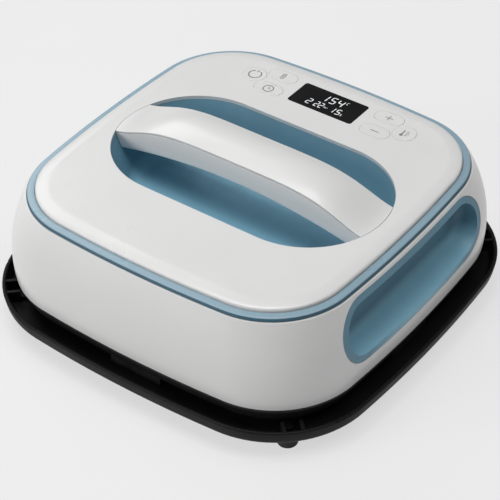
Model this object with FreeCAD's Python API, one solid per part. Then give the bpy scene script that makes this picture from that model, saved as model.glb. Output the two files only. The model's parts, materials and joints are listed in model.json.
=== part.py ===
"""Rounded-square craft heat press that parks in its own insulated safety base.

Millimetres, +Z up, origin on the table under the middle of the base.
X runs along the carrying handle, -Y is the user's side, +Y the panel side.
"""
import math
import os

import FreeCAD, Part

V = FreeCAD.Vector
UP = V(0, 0, 1)

# ---------------------------------------------------------------- driving dimensions
# stack of heights
FOOT_HEIGHT = 10.0          # table to the underside of the tray
TRAY_HEIGHT = 13.2          # underside of the tray to the top of its rim
TRAY_WALL = 3.0             # tray floor and wall
PAD_HEIGHT = 8.7            # silicone rests on the tray floor
REST_GAP = 0.3              # running gap under the parked press
COLLAR_HEIGHT = 12.1        # black heat-resistant frame under the white housing
HOUSING_HEIGHT = 66.9       # white side wall
RING_GAP = 2.2              # shadow gap between the housing's top edge and the ring
RING_STEP = 0.3             # rise of the trim ring across its sloping face
COVER_RISE = 4.1            # flat of the cover above the ring's outer edge
HANDLE_RISE = 19.6          # crest of the handle above the cover

# housing outline: four bulged sides joined by four large corners
WALL_WIDEST = 147.4         # half width at the fullest height
WALL_FULL_HEIGHT = 15.9     # housing's lower edge to the fullest height
WALL_BOW_R = 122.4          # vertical bow of the side wall
CORNER_R = 65.2             # plan radius of the corners at the housing's top edge
CORNER_GROWTH = 0.37        # corner radius gained per mm of half width
SIDE_BOW_R = 990.0          # plan radius of the sides
HOUSING_WALL = 2.8
LEDGE_WIDTH = 15.0          # shelf inside the top of the housing
LEDGE_T = 3.0

# trim ring and cover
RING_SHOULDER = 1.2         # white edge left outside the ring
RING_WIDTH = 6.2
RING_EDGE = 0.7             # upright outer edge of the ring
COVER_GAP = 0.3
COVER_WALL = 2.8
ROLL_WIDTH = 11.0           # rolled edge of the cover, in plan

# handle well
WELL_STRAIGHT = 50.2        # half length of the straight sides
WELL_R = 61.6               # end radius at the cover's opening
WELL_DEPTH = 38.0           # cover top to the floor of the well
WELL_FLOOR_R = 46.8         # end radius at the floor
WELL_FLOOR_FILLET = 15.0
WELL_WALL = 2.5
WELL_FLANGE = 5.0

# handle
HANDLE_WAIST = 37.6         # width at mid span
HANDLE_END = 40.7           # width where it meets the cover
HANDLE_RUNOUT = 113.0       # half span at which the top meets the cover
HANDLE_POWER = 2.4          # shape of the shoulders
HANDLE_THICK = 23.2         # at mid span
HANDLE_ARCH_R = 480.0       # underside
HANDLE_CROWN = 3.9          # rise of the crowned top across mid span
HANDLE_CROWN_END = 0.4      # and where it meets the cover
HANDLE_GRIP_R = 3.0
HANDLE_WALL = 2.6
HANDLE_CAP = 1.6            # upright edge of the cap
SEAM = 0.3                  # groove between the halves and round the ends
HANDLE_SCREW_D = 4.0
HANDLE_SCREW_REACH = 12.0
HANDLE_SCREW_Y = 11.0
HANDLE_SCREW_DROP = 9.5      # below the cover's flat

# side recesses
RECESS_LENGTH = 176.0
RECESS_HEIGHT = 50.0
RECESS_CENTRE = 39.5        # above the housing's lower edge
BEZEL = 4.8
RECESS_DEPTH = 22.5         # from the fullest width to the back of the pocket
RECESS_WALL = 2.2
RECESS_RAMP = 4.0           # rise of the pocket's floor towards its back
RECESS_FILLET = 7.0

# safety base
TRAY_REACH = 11.6           # rim outside the housing's lower edge
TRAY_DRAFT = 2.4
TRAY_HEEL_R = 7.0
FOOT_D = 15.0
FOOT_X = 118.5
FOOT_Y = 121.5
FOOT_EDGE_R = 1.5
BASE_SCREW_D = 4.0
LINER_HALF = 128.0
LINER_CORNER = 50.0
LINER_T = 0.8
LINER_CLEAR = 1.0           # round the pads and the foot bosses
PAD_LENGTH = 44.0
PAD_WIDTH = 7.0
RIB_T = 2.4
RIB_SPREAD = 6.5            # locating ribs either side of each corner's middle

# heater
PLATE = 254.0
PLATE_CORNER = 45.0
PLATE_T = 8.0
PLATE_DROP = 2.0            # plate face below the collar's edge
PLATE_GAP = 2.0             # round the plate
ELEMENT_D = 6.5
ELEMENT_RUN = 72.0          # half length of the straight runs
ELEMENT_PITCH = 36.0
ELEMENT_RUNS = 6
ELEMENT_LEG_R = 10.0
ELEMENT_LEG = 14.0
ELEMENT_FIT = 0.15
WASHER_D = 9.0
PLATE_SCREW_D = 4.0
PLATE_SCREW_INSET = 8.0
PLATE_SCREW_Y = 60.0
BLANKET_GAP = 1.2           # round the blanket, inside the pan
BLANKET_CORNER = 30.0
SHIELD_T = 0.8
SHIELD_HALF = 110.5         # outside of the raised part
SHIELD_LAND = 13.0          # flange round it
SHIELD_CORNER = 30.0
SHIELD_LAND_CORNER = 54.0
SHIELD_RISE = 11.4          # above the collar's flange

# sensors on the plate
THERMOSTAT_D = 16.0
THERMOSTAT_H = 6.0
THERMOSTAT_CAP_D = 9.0
THERMOSTAT_CAP_H = 8.0
TAB_T = 0.8
TAB_WIDTH = 5.0
TAB_HEIGHT = 4.0
TAB_RISE = 7.0
TAB_SPREAD = 2.5
FUSE_BLOCK_X = 16.0
FUSE_BLOCK_Y = 7.0
FUSE_BLOCK_H = 5.0
FUSE_D = 4.0
FUSE_LENGTH = 22.0
SENSOR_D = 8.0
SENSOR_FOOT_H = 3.0
SENSOR_TIP_D = 5.0
SENSOR_H = 8.0
POCKET_GAP = 1.0            # blanket round a sensor

# collar
LIP_HEIGHT = 2.8            # dark edge seen under the housing
LIP_INSET = 0.7
COLLAR_INSET = 3.5
COLLAR_DRAFT = 1.5
COLLAR_WALL = 3.2
FLANGE_T = 2.6
SHIELD_GAP = 1.5            # collar's opening round the pan
FLANGE_CORNER = 32.0
POST_D = 9.0
POST_AT = 112.0             # chassis posts, X and Y
COLLAR_LIP = 2.0            # inward lip round the plate
HOUSING_SCREW_D = 3.0
HOUSING_SCREW_AT = 133.5
HOUSING_SCREW_SPREAD = 40.0
HOUSING_BOSS_D = 8.0
HOUSING_BOSS_H = 12.0

# chassis and electronics
CHASSIS_RISE = 14.5         # chassis plate above the housing's lower edge
CHASSIS_HALF = 118.0
CHASSIS_CORNER = 12.0
CHASSIS_T = 1.2
BOARD_T = 1.6
POWER_BOARD_X = 150.0
POWER_BOARD_Y = 42.0
POWER_BOARD_AT = 91.0
SPACER_H = 5.0
SPACER_D = 6.0
SMALL_SCREW_D = 3.0
CONTROL_BOARD_X = 156.0
CONTROL_BOARD_Y = 37.0
CONTROL_BOARD_AT = 94.5
CONTROL_DROP = 9.4          # cover top to the board's upper face
PIN_CLEAR = 0.15            # holes round screws

# power components
RELAY_X = 19.0
RELAY_Y = 15.5
RELAY_H = 15.3
RELAY_AT = -20.0
CORE_X = 26.0
CORE_Y = 21.0
CORE_H = 22.0
COIL_X = 32.0
COIL_Y = 15.0
COIL_H = 16.0
TRANSFORMER_AT = 12.0
HEAT_SINK_X = 30.0
HEAT_SINK_H = 20.0
HEAT_SINK_WEB = 3.0
HEAT_SINK_AT = 46.0
HEAT_SINK_BACK = 9.0        # its web in front of the board's middle line
FIN_T = 1.6
FIN_LENGTH = 12.0
FIN_PITCH = 7.0
FINS = 5
BLOCK_X = 30.0
BLOCK_Y = 11.0
BLOCK_H = 12.0
BLOCK_AT = -46.0
BLOCK_SHIFT = 8.0
WAYS = 3
WAY = 6.0                   # wire ways of the terminal block
WAY_H = 8.0
WAY_RISE = 6.0
WAY_PITCH = 10.0
WAY_SHIFT = 4.0
CAPACITOR_D = 10.0
CAPACITOR_H = 16.0
CAPACITOR_AT = -46.0
CAPACITOR_BACK = 9.0
BUZZER_D = 9.0
BUZZER_H = 5.0

# panel
PANEL_Y = 98.6
WINDOW_X = 54.6
WINDOW_Y = 26.0
WINDOW_T = 2.0
WINDOW_R = 1.5
WINDOW_LEDGE = 1.5
KEY_TRAVEL = 0.5
KEY_SLACK = 0.45            # cover's underside to the key's flange
KEY_GAP = 0.3
KEY_RETAINER = 0.7
KEY_RETAINER_T = 1.0
ROUND_KEY_D = 18.0
ROUND_KEY_X = 67.6
PILL_X = 24.0
PILL_Y = 13.0
PILL_AT_X = 48.0
PILL_AT_Y = 9.95
SWITCH = 6.0
SWITCH_H = 3.5
PLUNGER_D = 3.4
PLUNGER_BORE = 4.0

# cord entry
REAR_HALF = 60.0            # half length of the housing's rear stretch
GLAND_RISE = 27.9           # gland's axis above the housing's lower edge
GLAND_BORE = 7.2
GLAND_BARREL = 13.0
GLAND_FLANGE = 19.0
GLAND_FLANGE_T = 2.2

# cover screws
COVER_SCREW_D = 3.0
COVER_SCREW_AT = 105.4      # corner screws, X and Y
COVER_SCREW_SPREAD = 50.0   # screws in front and behind
COVER_SCREW_EDGE = 122.0

# ---------------------------------------------------------------- fits in plan
BLANKET_HALF = SHIELD_HALF - SHIELD_T - BLANKET_GAP
FLANGE_OPENING = SHIELD_HALF + SHIELD_GAP

# ---------------------------------------------------------------- levels
TRAY_Z = FOOT_HEIGHT
RIM_Z = TRAY_Z + TRAY_HEIGHT
FLOOR_Z = TRAY_Z + TRAY_WALL
COLLAR_Z = FLOOR_Z + PAD_HEIGHT + REST_GAP
HOUSING_Z = COLLAR_Z + COLLAR_HEIGHT
WALL_TOP_Z = HOUSING_Z + HOUSING_HEIGHT
RING_Z = WALL_TOP_Z + RING_GAP
LEDGE_TOP_Z = WALL_TOP_Z - 1.5
COVER_Z = RING_Z + RING_EDGE + COVER_RISE
COVER_UNDER_Z = COVER_Z - COVER_WALL
WELL_FLOOR_Z = COVER_Z - WELL_DEPTH
FLANGE_Z = HOUSING_Z - FLANGE_T
PLATE_Z = COLLAR_Z - PLATE_DROP
PLATE_TOP_Z = PLATE_Z + PLATE_T
SHIELD_TOP_Z = HOUSING_Z + SHIELD_RISE
CHASSIS_Z = HOUSING_Z + CHASSIS_RISE
CONTROL_Z = COVER_Z - CONTROL_DROP
GLAND_Z = HOUSING_Z + GLAND_RISE
RECESS_Z = HOUSING_Z + RECESS_CENTRE
HANDLE_SCREW_Z = COVER_Z - HANDLE_SCREW_DROP
RECESS_BACK_X = WALL_WIDEST - RECESS_DEPTH
RING_INSET = RING_SHOULDER + RING_WIDTH
COVER_INSET = RING_INSET + COVER_GAP
CORNERS = [(1, 1), (-1, 1), (-1, -1), (1, -1)]


# ---------------------------------------------------------------- outlines in plan
def arc(centre, radius, start, end, turned, z):
    """Arc whose centre and angles are turned about the Z axis by one angle."""
    x, y = centre
    middle = V(x * math.cos(turned) - y * math.sin(turned),
               x * math.sin(turned) + y * math.cos(turned), z)
    circle = Part.Circle(middle, UP, radius)
    return Part.ArcOfCircle(circle, turned + start, turned + end).toShape()


def bowed_square(half, corner, side, z):
    """Square of four bowed sides and four corner arcs, tangent all the way round.

    A side's centre is at half - side on its axis and a corner's at (c, c), so tangency
    asks that the two centres lie side - corner apart.
    """
    k = half - side
    c = (2 * k + math.sqrt(4 * k * k - 8 * (k * k - (side - corner) ** 2))) / 4
    turn = math.atan2(c, c - k)
    edges = []
    for quarter in range(4):
        turned = quarter * math.pi / 2
        edges.append(arc((k, 0), side, -turn, turn, turned, z))
        edges.append(arc((c, c), corner, turn, math.pi / 2 - turn, turned, z))
    return Part.Wire(edges)


def wall_half(z):
    """Half width of the housing's outside at a height."""
    rise = z - HOUSING_Z - WALL_FULL_HEIGHT
    return WALL_WIDEST - WALL_BOW_R + math.sqrt(WALL_BOW_R ** 2 - rise ** 2)


def wall_outline(level, inset, z):
    """Outline of the housing at one level, moved in by inset and drawn at height z."""
    half = wall_half(level)
    corner = CORNER_R + CORNER_GROWTH * (half - wall_half(WALL_TOP_Z))
    return bowed_square(half - inset, corner - inset, SIDE_BOW_R - inset, z)


def top_outline(inset, z):
    """Offset of the housing's top edge."""
    return wall_outline(WALL_TOP_Z, inset, z)


def skirt_outline(inset, z):
    """Offset of the housing's lower edge."""
    return wall_outline(HOUSING_Z, inset, z)


def rounded_rect(half_x, half_y, radius, z, at=(0, 0)):
    """Rectangle with round corners; half_y equal to the radius gives a pill."""
    arcs = []
    for quarter, (sx, sy) in enumerate(CORNERS):
        centre = V(at[0] + sx * (half_x - radius), at[1] + sy * (half_y - radius), z)
        start = quarter * math.pi / 2
        circle = Part.Circle(centre, UP, radius)
        arcs.append(Part.ArcOfCircle(circle, start, start + math.pi / 2).toShape())
    edges = []
    for this, after in zip(arcs, arcs[1:] + arcs[:1]):
        edges.append(this)
        gap = after.Vertexes[0].Point - this.Vertexes[-1].Point
        if gap.Length > 1e-6:
            edges.append(Part.makeLine(this.Vertexes[-1].Point, after.Vertexes[0].Point))
    return Part.Wire(edges)


def rounded_square(half, radius, z):
    """Square with round corners."""
    return rounded_rect(half, half, radius, z)


# ---------------------------------------------------------------- solids
def prism(wire, height):
    """Wire filled and raised by a height."""
    return Part.Face(wire).extrude(V(0, 0, height))


def loft(wires, smooth=False):
    """Solid through closed wires."""
    return Part.makeLoft(wires, True, not smooth)


def box(size, middle, z):
    """Block of a size, centred in plan on a point and standing on height z."""
    sx, sy, sz = size
    return Part.makeBox(sx, sy, sz, V(middle[0] - sx / 2, middle[1] - sy / 2, z))


def post(diameter, height, at, z):
    """Upright cylinder."""
    return Part.makeCylinder(diameter / 2, height, V(at[0], at[1], z))


def rod(diameter, start, end):
    """Cylinder between two points."""
    along = end - start
    return Part.makeCylinder(diameter / 2, along.Length, start, along)


def united(shapes):
    """One solid from overlapping ones."""
    return shapes[0].multiFuse(shapes[1:]).removeSplitter() if shapes[1:] else shapes[0]


def turned_about_z(shape, angle):
    """Copy turned about the Z axis."""
    return shape.rotated(V(0, 0, 0), UP, angle)


def screw(diameter, seat, tip):
    """Cheese-head screw: its head lies behind the seat and its shank ends at the tip."""
    along = (tip - seat).normalize()
    head = rod(1.9 * diameter, seat - along * 0.65 * diameter, seat)
    return head.fuse(rod(diameter, seat, tip)).removeSplitter()


def screw_hole(diameter, seat, tip):
    """Clearance for a screw's shank, a little longer than the shank."""
    along = (tip - seat).normalize() * PIN_CLEAR
    return rod(diameter + 2 * PIN_CLEAR, seat - along, tip + along)


def bottom_edges(shape, z):
    """Edges that lie in the plane at height z."""
    return [e for e in shape.Edges if abs(e.BoundBox.ZMin - z) < 1e-4 and e.BoundBox.ZLength < 1e-4]


# ---------------------------------------------------------------- safety base
def foot_points():
    """Centres of the four feet."""
    return [(sx * FOOT_X, sy * FOOT_Y) for sx, sy in CORNERS]


def base_screw_ends(at):
    """Head seat and tip of a foot screw: up through the foot into the tray's boss."""
    return V(at[0], at[1], FOOT_HEIGHT / 2), V(at[0], at[1], FLOOR_Z + BASE_SCREW_D / 2)


def tray_space():
    """Open space inside the tray."""
    floor = skirt_outline(TRAY_WALL + TRAY_DRAFT - TRAY_REACH, FLOOR_Z)
    mouth = skirt_outline(TRAY_WALL - TRAY_REACH, RIM_Z)
    space = loft([floor, mouth])
    return space.makeFillet(TRAY_WALL, bottom_edges(space, FLOOR_Z))


def locating_ribs(space):
    """Pairs of upright ribs in the tray's corners that guide the collar home."""
    reach = 2 * WALL_WIDEST
    start = collar_corner() + REST_GAP + COLLAR_DRAFT
    ribs = []
    for corner in range(4):
        for side in (-1, 1):
            rib = Part.makeBox(reach, RIB_T, RIM_Z - FLOOR_Z - TRAY_WALL / 4,
                               V(start, side * RIB_SPREAD - RIB_T / 2, FLOOR_Z))
            ribs.append(turned_about_z(rib.common(turned_about_z(space, -45)), 45 + 90 * corner))
    return ribs


def collar_corner():
    """Distance from the middle to the collar's widest corner, below its lip."""
    corner = skirt_outline(COLLAR_INSET, 0)
    return max(math.hypot(p.x, p.y) for p in corner.discretize(Number=400))


def base_tray():
    """Flared tray with a rolled rim, foot bosses and locating ribs."""
    heel = skirt_outline(TRAY_DRAFT - TRAY_REACH, TRAY_Z)
    rim = skirt_outline(-TRAY_REACH, RIM_Z)
    body = loft([heel, rim])
    body = body.makeFillet(TRAY_HEEL_R, bottom_edges(body, TRAY_Z))
    space = tray_space()
    body = body.cut(space)
    body = body.makeFillet(0.4 * TRAY_WALL, bottom_edges(body, RIM_Z))
    bosses = [post(2 * BASE_SCREW_D, BASE_SCREW_D, at, FLOOR_Z - TRAY_WALL / 2)
              for at in foot_points()]
    body = united([body] + bosses + locating_ribs(space))
    for at in foot_points():
        body = body.cut(screw_hole(BASE_SCREW_D, *base_screw_ends(at)))
    return body


def base_feet():
    """Turned rubber feet, counterbored from below for their screws."""
    feet = []
    for at in foot_points():
        foot = post(FOOT_D, FOOT_HEIGHT, at, 0)
        foot = foot.makeFillet(FOOT_EDGE_R, bottom_edges(foot, 0))
        seat, tip = base_screw_ends(at)
        counterbore = rod(2.2 * BASE_SCREW_D, V(at[0], at[1], 0), seat)
        feet.append(foot.cut(counterbore.fuse(screw_hole(BASE_SCREW_D, seat, tip))))
    return feet


def base_foot_screws():
    """One screw through each foot."""
    return [screw(BASE_SCREW_D, *base_screw_ends(at)) for at in foot_points()]


def base_heat_liner():
    """Thin bright sheet on the tray's floor, notched where it meets a pad or a boss."""
    liner = prism(rounded_square(LINER_HALF, LINER_CORNER, FLOOR_Z), LINER_T)
    for pad in base_support_pads():
        b = pad.BoundBox
        size = (b.XLength + 2 * LINER_CLEAR, b.YLength + 2 * LINER_CLEAR, LINER_T)
        liner = liner.cut(box(size, (b.Center.x, b.Center.y), FLOOR_Z))
    for at in foot_points():
        liner = liner.cut(post(2 * BASE_SCREW_D + 2 * LINER_CLEAR, LINER_T, at, FLOOR_Z))
    return liner


def base_support_pads():
    """Silicone rests under the middle of each side of the collar."""
    inner = PLATE / 2 + PLATE_GAP
    outer = wall_half(HOUSING_Z) - COLLAR_INSET - COLLAR_DRAFT
    middle = (inner + outer) / 2
    pad = box((PAD_WIDTH, PAD_LENGTH, PAD_HEIGHT), (middle, 0), FLOOR_Z)
    return [turned_about_z(pad, 90 * side) for side in range(4)]


# ---------------------------------------------------------------- heater
def plate_screw_points():
    """Screws a little inside each edge of the plate."""
    edge = PLATE / 2 - PLATE_SCREW_INSET
    return [(sx * x, sy * y) for x, y in ((edge, PLATE_SCREW_Y), (PLATE_SCREW_Y, edge))
            for sx, sy in CORNERS]


def plate_screw_ends(at):
    """Head seat on the shield's flange and tip in the plate."""
    return V(at[0], at[1], HOUSING_Z + SHIELD_T), V(at[0], at[1], PLATE_Z + PLATE_T / 3)


def element_path():
    """Centre line of the heating tube: legs up, straight runs and U-turns between."""
    z = PLATE_TOP_Z
    side = 1
    y = -(ELEMENT_RUNS - 1) / 2 * ELEMENT_PITCH
    leg_x = ELEMENT_RUN + ELEMENT_PITCH / 2 + ELEMENT_LEG_R / 2
    edges = element_leg(-leg_x, y, z)
    for run in range(ELEMENT_RUNS):
        start = -leg_x + ELEMENT_LEG_R if run == 0 else -side * ELEMENT_RUN
        last = run == ELEMENT_RUNS - 1
        end = side * (leg_x - ELEMENT_LEG_R) if last else side * ELEMENT_RUN
        edges.append(Part.makeLine(V(start, y, z), V(end, y, z)))
        if not last:
            bow = V(end + side * ELEMENT_PITCH / 2, y + ELEMENT_PITCH / 2, z)
            y += ELEMENT_PITCH
            edges.append(Part.Arc(V(end, y - ELEMENT_PITCH, z), bow, V(end, y, z)).toShape())
            side = -side
    return edges + element_leg(side * leg_x, y, z)[::-1]


def element_leg(x, y, z):
    """Quarter bend and upright end of the tube, from the top down to its run."""
    side = math.copysign(1, x)
    low = V(x - side * ELEMENT_LEG_R, y, z)
    high = V(x, y, z + ELEMENT_LEG_R)
    turn = ELEMENT_LEG_R * (1 - math.sqrt(0.5))
    middle = V(x - side * turn, y, z + turn)
    return [Part.makeLine(high + V(0, 0, ELEMENT_LEG), high), Part.Arc(high, middle, low).toShape()]


def element_tube(diameter):
    """Round tube swept along the heating element's centre line."""
    path = Part.Wire(Part.sortEdges(element_path())[0])
    start = path.Edges[0].firstVertex(True).Point
    section = Part.Wire(Part.makeCircle(diameter / 2, start, UP))
    return path.makePipeShell([section], True, True)


def element_ends():
    """Tops of the two legs."""
    top = PLATE_TOP_Z + ELEMENT_LEG_R + ELEMENT_LEG
    ends = [v.Point for edge in element_path() for v in edge.Vertexes]
    return [p for p in ends if abs(p.z - top) < 1e-6]


def heat_plate():
    """Cast plate with the serpentine channel for the element and tapped edge holes."""
    plate = prism(rounded_square(PLATE / 2, PLATE_CORNER, PLATE_Z), PLATE_T)
    plate = plate.makeFillet(PLATE_T / 8, bottom_edges(plate, PLATE_Z))
    plate = plate.cut(element_tube(ELEMENT_D + 2 * ELEMENT_FIT))
    for at in plate_screw_points():
        plate = plate.cut(screw_hole(PLATE_SCREW_D, *plate_screw_ends(at)))
    return plate


def heating_element():
    """Sheathed tubular element lying half deep in the plate's channel."""
    return element_tube(ELEMENT_D)


def element_terminals():
    """Ceramic bead and pin on each end of the element."""
    terminals = []
    for end in element_ends():
        bead = post(1.2 * ELEMENT_D, ELEMENT_D / 2, (end.x, end.y), end.z)
        pin = post(0.4 * ELEMENT_D, 1.2 * ELEMENT_D, (end.x, end.y), end.z)
        terminals.append(bead.fuse(pin).removeSplitter())
    return terminals


def plate_washers():
    """Ceramic washers that hold the hot plate off the collar."""
    washers = []
    for at in plate_screw_points():
        ring = post(WASHER_D, FLANGE_Z - PLATE_TOP_Z, at, PLATE_TOP_Z)
        washers.append(ring.cut(screw_hole(PLATE_SCREW_D, *plate_screw_ends(at))))
    return washers


def plate_screws():
    """Screws down through shield, collar and washer into the plate."""
    return [screw(PLATE_SCREW_D, *plate_screw_ends(at)) for at in plate_screw_points()]


def plate_sensors():
    """Thermostat, thermal fuse and temperature sensor, each on the plate between runs."""
    thermostat_at = (ELEMENT_PITCH, 0)
    fuse_at = (-ELEMENT_PITCH, 0)
    sensor_at = (0, ELEMENT_PITCH)
    can = post(THERMOSTAT_D, THERMOSTAT_H, thermostat_at, PLATE_TOP_Z)
    cap = post(THERMOSTAT_CAP_D, THERMOSTAT_CAP_H, thermostat_at, PLATE_TOP_Z)
    tabs = [box((TAB_T, TAB_WIDTH, TAB_HEIGHT), (thermostat_at[0] + side * TAB_SPREAD, 0),
                PLATE_TOP_Z + TAB_RISE) for side in (-1, 1)]
    block = box((FUSE_BLOCK_X, FUSE_BLOCK_Y, FUSE_BLOCK_H), fuse_at, PLATE_TOP_Z)
    fuse_end = V(fuse_at[0] - FUSE_LENGTH / 2, 0, PLATE_TOP_Z + FUSE_BLOCK_H)
    capsule = rod(FUSE_D, fuse_end, fuse_end + V(FUSE_LENGTH, 0, 0))
    stud = post(SENSOR_D, SENSOR_FOOT_H, sensor_at, PLATE_TOP_Z)
    stud = stud.fuse(post(SENSOR_TIP_D, SENSOR_H, sensor_at, PLATE_TOP_Z))
    return {"thermostat": united([can, cap] + tabs), "thermal_fuse": united([block, capsule]),
            "temperature_sensor": stud.removeSplitter()}


def insulation_blanket():
    """Fibre blanket between the element and the shield, open round what rises through it."""
    z = PLATE_TOP_Z + ELEMENT_D / 2 + SEAM
    top = SHIELD_TOP_Z - SHIELD_T - SEAM
    blanket = prism(rounded_square(BLANKET_HALF, BLANKET_CORNER, z), top - z)
    for end in element_ends():
        low = z - POCKET_GAP
        blanket = blanket.cut(post(2 * ELEMENT_D, 2 * SHIELD_RISE, (end.x, end.y), low))
        bend = box((4 * ELEMENT_D, 1.5 * ELEMENT_D, ELEMENT_LEG_R), (end.x, end.y), low)
        blanket = blanket.cut(bend)
    for sensor in plate_sensors().values():
        b = sensor.BoundBox
        size = (b.XLength + 2 * POCKET_GAP, b.YLength + 2 * POCKET_GAP, 2 * SHIELD_RISE)
        blanket = blanket.cut(box(size, (b.Center.x, b.Center.y), z - POCKET_GAP))
    return blanket


def heat_shield():
    """Pressed steel pan over the blanket, screwed down by its flange."""
    land = prism(rounded_square(SHIELD_HALF + SHIELD_LAND, SHIELD_LAND_CORNER, HOUSING_Z), SHIELD_T)
    raised = prism(rounded_square(SHIELD_HALF, SHIELD_CORNER, HOUSING_Z), SHIELD_RISE)
    inner = rounded_square(SHIELD_HALF - SHIELD_T, SHIELD_CORNER - SHIELD_T, HOUSING_Z)
    shield = united([land, raised]).cut(prism(inner, SHIELD_RISE - SHIELD_T))
    for end in element_ends():
        shield = shield.cut(post(2 * ELEMENT_D, 2 * SHIELD_RISE, (end.x, end.y), HOUSING_Z))
    for at in plate_screw_points():
        shield = shield.cut(screw_hole(PLATE_SCREW_D, *plate_screw_ends(at)))
    return shield


# ---------------------------------------------------------------- collar
def housing_screw_points():
    """Screws that hold the housing down on the collar, two to a side."""
    return [(sx * x, sy * y) for x, y in ((HOUSING_SCREW_AT, HOUSING_SCREW_SPREAD),
                                          (HOUSING_SCREW_SPREAD, HOUSING_SCREW_AT))
            for sx, sy in CORNERS]


def housing_screw_ends(at):
    """Head seat under the collar's flange and tip in the housing's boss."""
    return V(at[0], at[1], FLANGE_Z), V(at[0], at[1], HOUSING_Z + HOUSING_BOSS_H - FLANGE_T)


def chassis_points():
    """Posts under the chassis plate's corners."""
    return [(sx * POST_AT, sy * POST_AT) for sx, sy in CORNERS]


def chassis_screw_ends(at):
    """Head seat on the chassis and tip in the collar's post."""
    top = CHASSIS_Z + CHASSIS_T
    return V(at[0], at[1], top), V(at[0], at[1], top - 3 * SMALL_SCREW_D)


def bottom_collar():
    """Heat-resistant frame: skirt round the plate, flange over it and chassis posts."""
    lip_z = HOUSING_Z - LIP_HEIGHT
    lip = prism(skirt_outline(LIP_INSET, lip_z), LIP_HEIGHT)
    skirt = loft([skirt_outline(COLLAR_INSET + COLLAR_DRAFT, COLLAR_Z),
                  skirt_outline(COLLAR_INSET, lip_z)])
    inner = skirt_outline(COLLAR_INSET + COLLAR_DRAFT + COLLAR_WALL, COLLAR_Z + COLLAR_LIP)
    collar = united([lip, skirt]).cut(prism(inner, FLANGE_Z - COLLAR_Z - COLLAR_LIP))
    mouth = rounded_square(PLATE / 2 + PLATE_GAP, PLATE_CORNER + PLATE_GAP, COLLAR_Z)
    opening = rounded_square(FLANGE_OPENING, FLANGE_CORNER, FLANGE_Z)
    collar = collar.cut(prism(mouth, COLLAR_LIP)).cut(prism(opening, FLANGE_T))
    posts = [post(POST_D, CHASSIS_Z - FLANGE_Z, at, FLANGE_Z) for at in chassis_points()]
    collar = united([collar] + posts)
    for at in chassis_points():
        collar = collar.cut(screw_hole(SMALL_SCREW_D, *chassis_screw_ends(at)))
    for at in plate_screw_points():
        collar = collar.cut(screw_hole(PLATE_SCREW_D, *plate_screw_ends(at)))
    for at in housing_screw_points():
        collar = collar.cut(screw_hole(HOUSING_SCREW_D, *housing_screw_ends(at)))
    return collar


def housing_screws():
    """Screws up through the collar's flange."""
    return [screw(HOUSING_SCREW_D, *housing_screw_ends(at)) for at in housing_screw_points()]


# ---------------------------------------------------------------- housing
def wall_solid(inset, low=HOUSING_Z, high=WALL_TOP_Z, steps=6):
    """Everything inside the bowed side wall, moved in by inset."""
    levels = [low + (high - low) * i / steps for i in range(steps + 1)]
    return loft([wall_outline(z, inset, z) for z in levels], smooth=True)


def pill_prism(length, height, start, end):
    """Pill lying along Y, drawn from x = start to x = end at the recess's height."""
    wire = rounded_rect(length / 2, height / 2, height / 2, 0)
    wire.rotate(V(0, 0, 0), V(1, 1, 1), 120)
    wire.translate(V(start, 0, RECESS_Z))
    return Part.Face(wire).extrude(V(end - start, 0, 0))


def cover_screw_points():
    """One screw in each corner and two in front and behind."""
    return ([(sx * COVER_SCREW_AT, sy * COVER_SCREW_AT) for sx, sy in CORNERS]
            + [(sx * COVER_SCREW_SPREAD, sy * COVER_SCREW_EDGE) for sx, sy in CORNERS])


def cover_screw_ends(at):
    """Head seat under the ledge and tip in the cover's boss."""
    return V(at[0], at[1], LEDGE_TOP_Z - LEDGE_T), V(at[0], at[1], LEDGE_TOP_Z + COVER_SCREW_D)


def gland_seat_y():
    """Flat seat for the cord gland, cut just behind the bowed rear wall."""
    return wall_half(GLAND_Z + GLAND_FLANGE / 2) - PIN_CLEAR


def housing_wall():
    """White side wall with its screw bosses, side cut-outs and gland seat."""
    inside = wall_solid(HOUSING_WALL)
    wall = wall_solid(0).cut(inside)
    bosses = []
    for at in housing_screw_points():
        bosses.append(post(HOUSING_BOSS_D, HOUSING_BOSS_H, at, HOUSING_Z))
        across = abs(at[0]) > abs(at[1])
        span = 2 * (WALL_WIDEST - HOUSING_SCREW_AT)
        size = (span, HOUSING_WALL, HOUSING_BOSS_H) if across else (HOUSING_WALL, span, HOUSING_BOSS_H)
        out = tuple(math.copysign(HOUSING_SCREW_AT + span / 2, c) if abs(c) == HOUSING_SCREW_AT else c
                    for c in at)
        bosses.append(box(size, out, HOUSING_Z).common(wall_solid(HOUSING_WALL / 2)))
    pad = rod(GLAND_FLANGE + 2 * HOUSING_WALL, V(0, gland_seat_y() - 1.6 * HOUSING_WALL, GLAND_Z),
              V(0, gland_seat_y(), GLAND_Z))
    housing = united([wall, pad] + bosses)
    seat = rod(GLAND_FLANGE + 2 * COVER_GAP, V(0, gland_seat_y(), GLAND_Z), V(0, WALL_WIDEST + 1, GLAND_Z))
    bore = rod(GLAND_BARREL + 2 * PIN_CLEAR, V(0, 0, GLAND_Z), V(0, WALL_WIDEST, GLAND_Z))
    housing = housing.cut(seat).cut(bore)
    slot = pill_prism(RECESS_LENGTH + 2 * COVER_GAP, RECESS_HEIGHT + 2 * COVER_GAP,
                      RECESS_BACK_X, WALL_WIDEST + 1).cut(inside)
    housing = housing.cut(slot).cut(turned_about_z(slot, 180))
    for at in housing_screw_points():
        housing = housing.cut(screw_hole(HOUSING_SCREW_D, *housing_screw_ends(at)))
    return housing


def rear_room():
    """Everything round the middle stretch of the housing's rear."""
    size = (2 * REAR_HALF, WALL_WIDEST, 2 * HOUSING_HEIGHT)
    return box(size, (0, WALL_WIDEST), HOUSING_Z - HOUSING_HEIGHT / 2)


def outer_housing():
    """Front and sides of the white wall."""
    return housing_wall().cut(rear_room())


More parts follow.
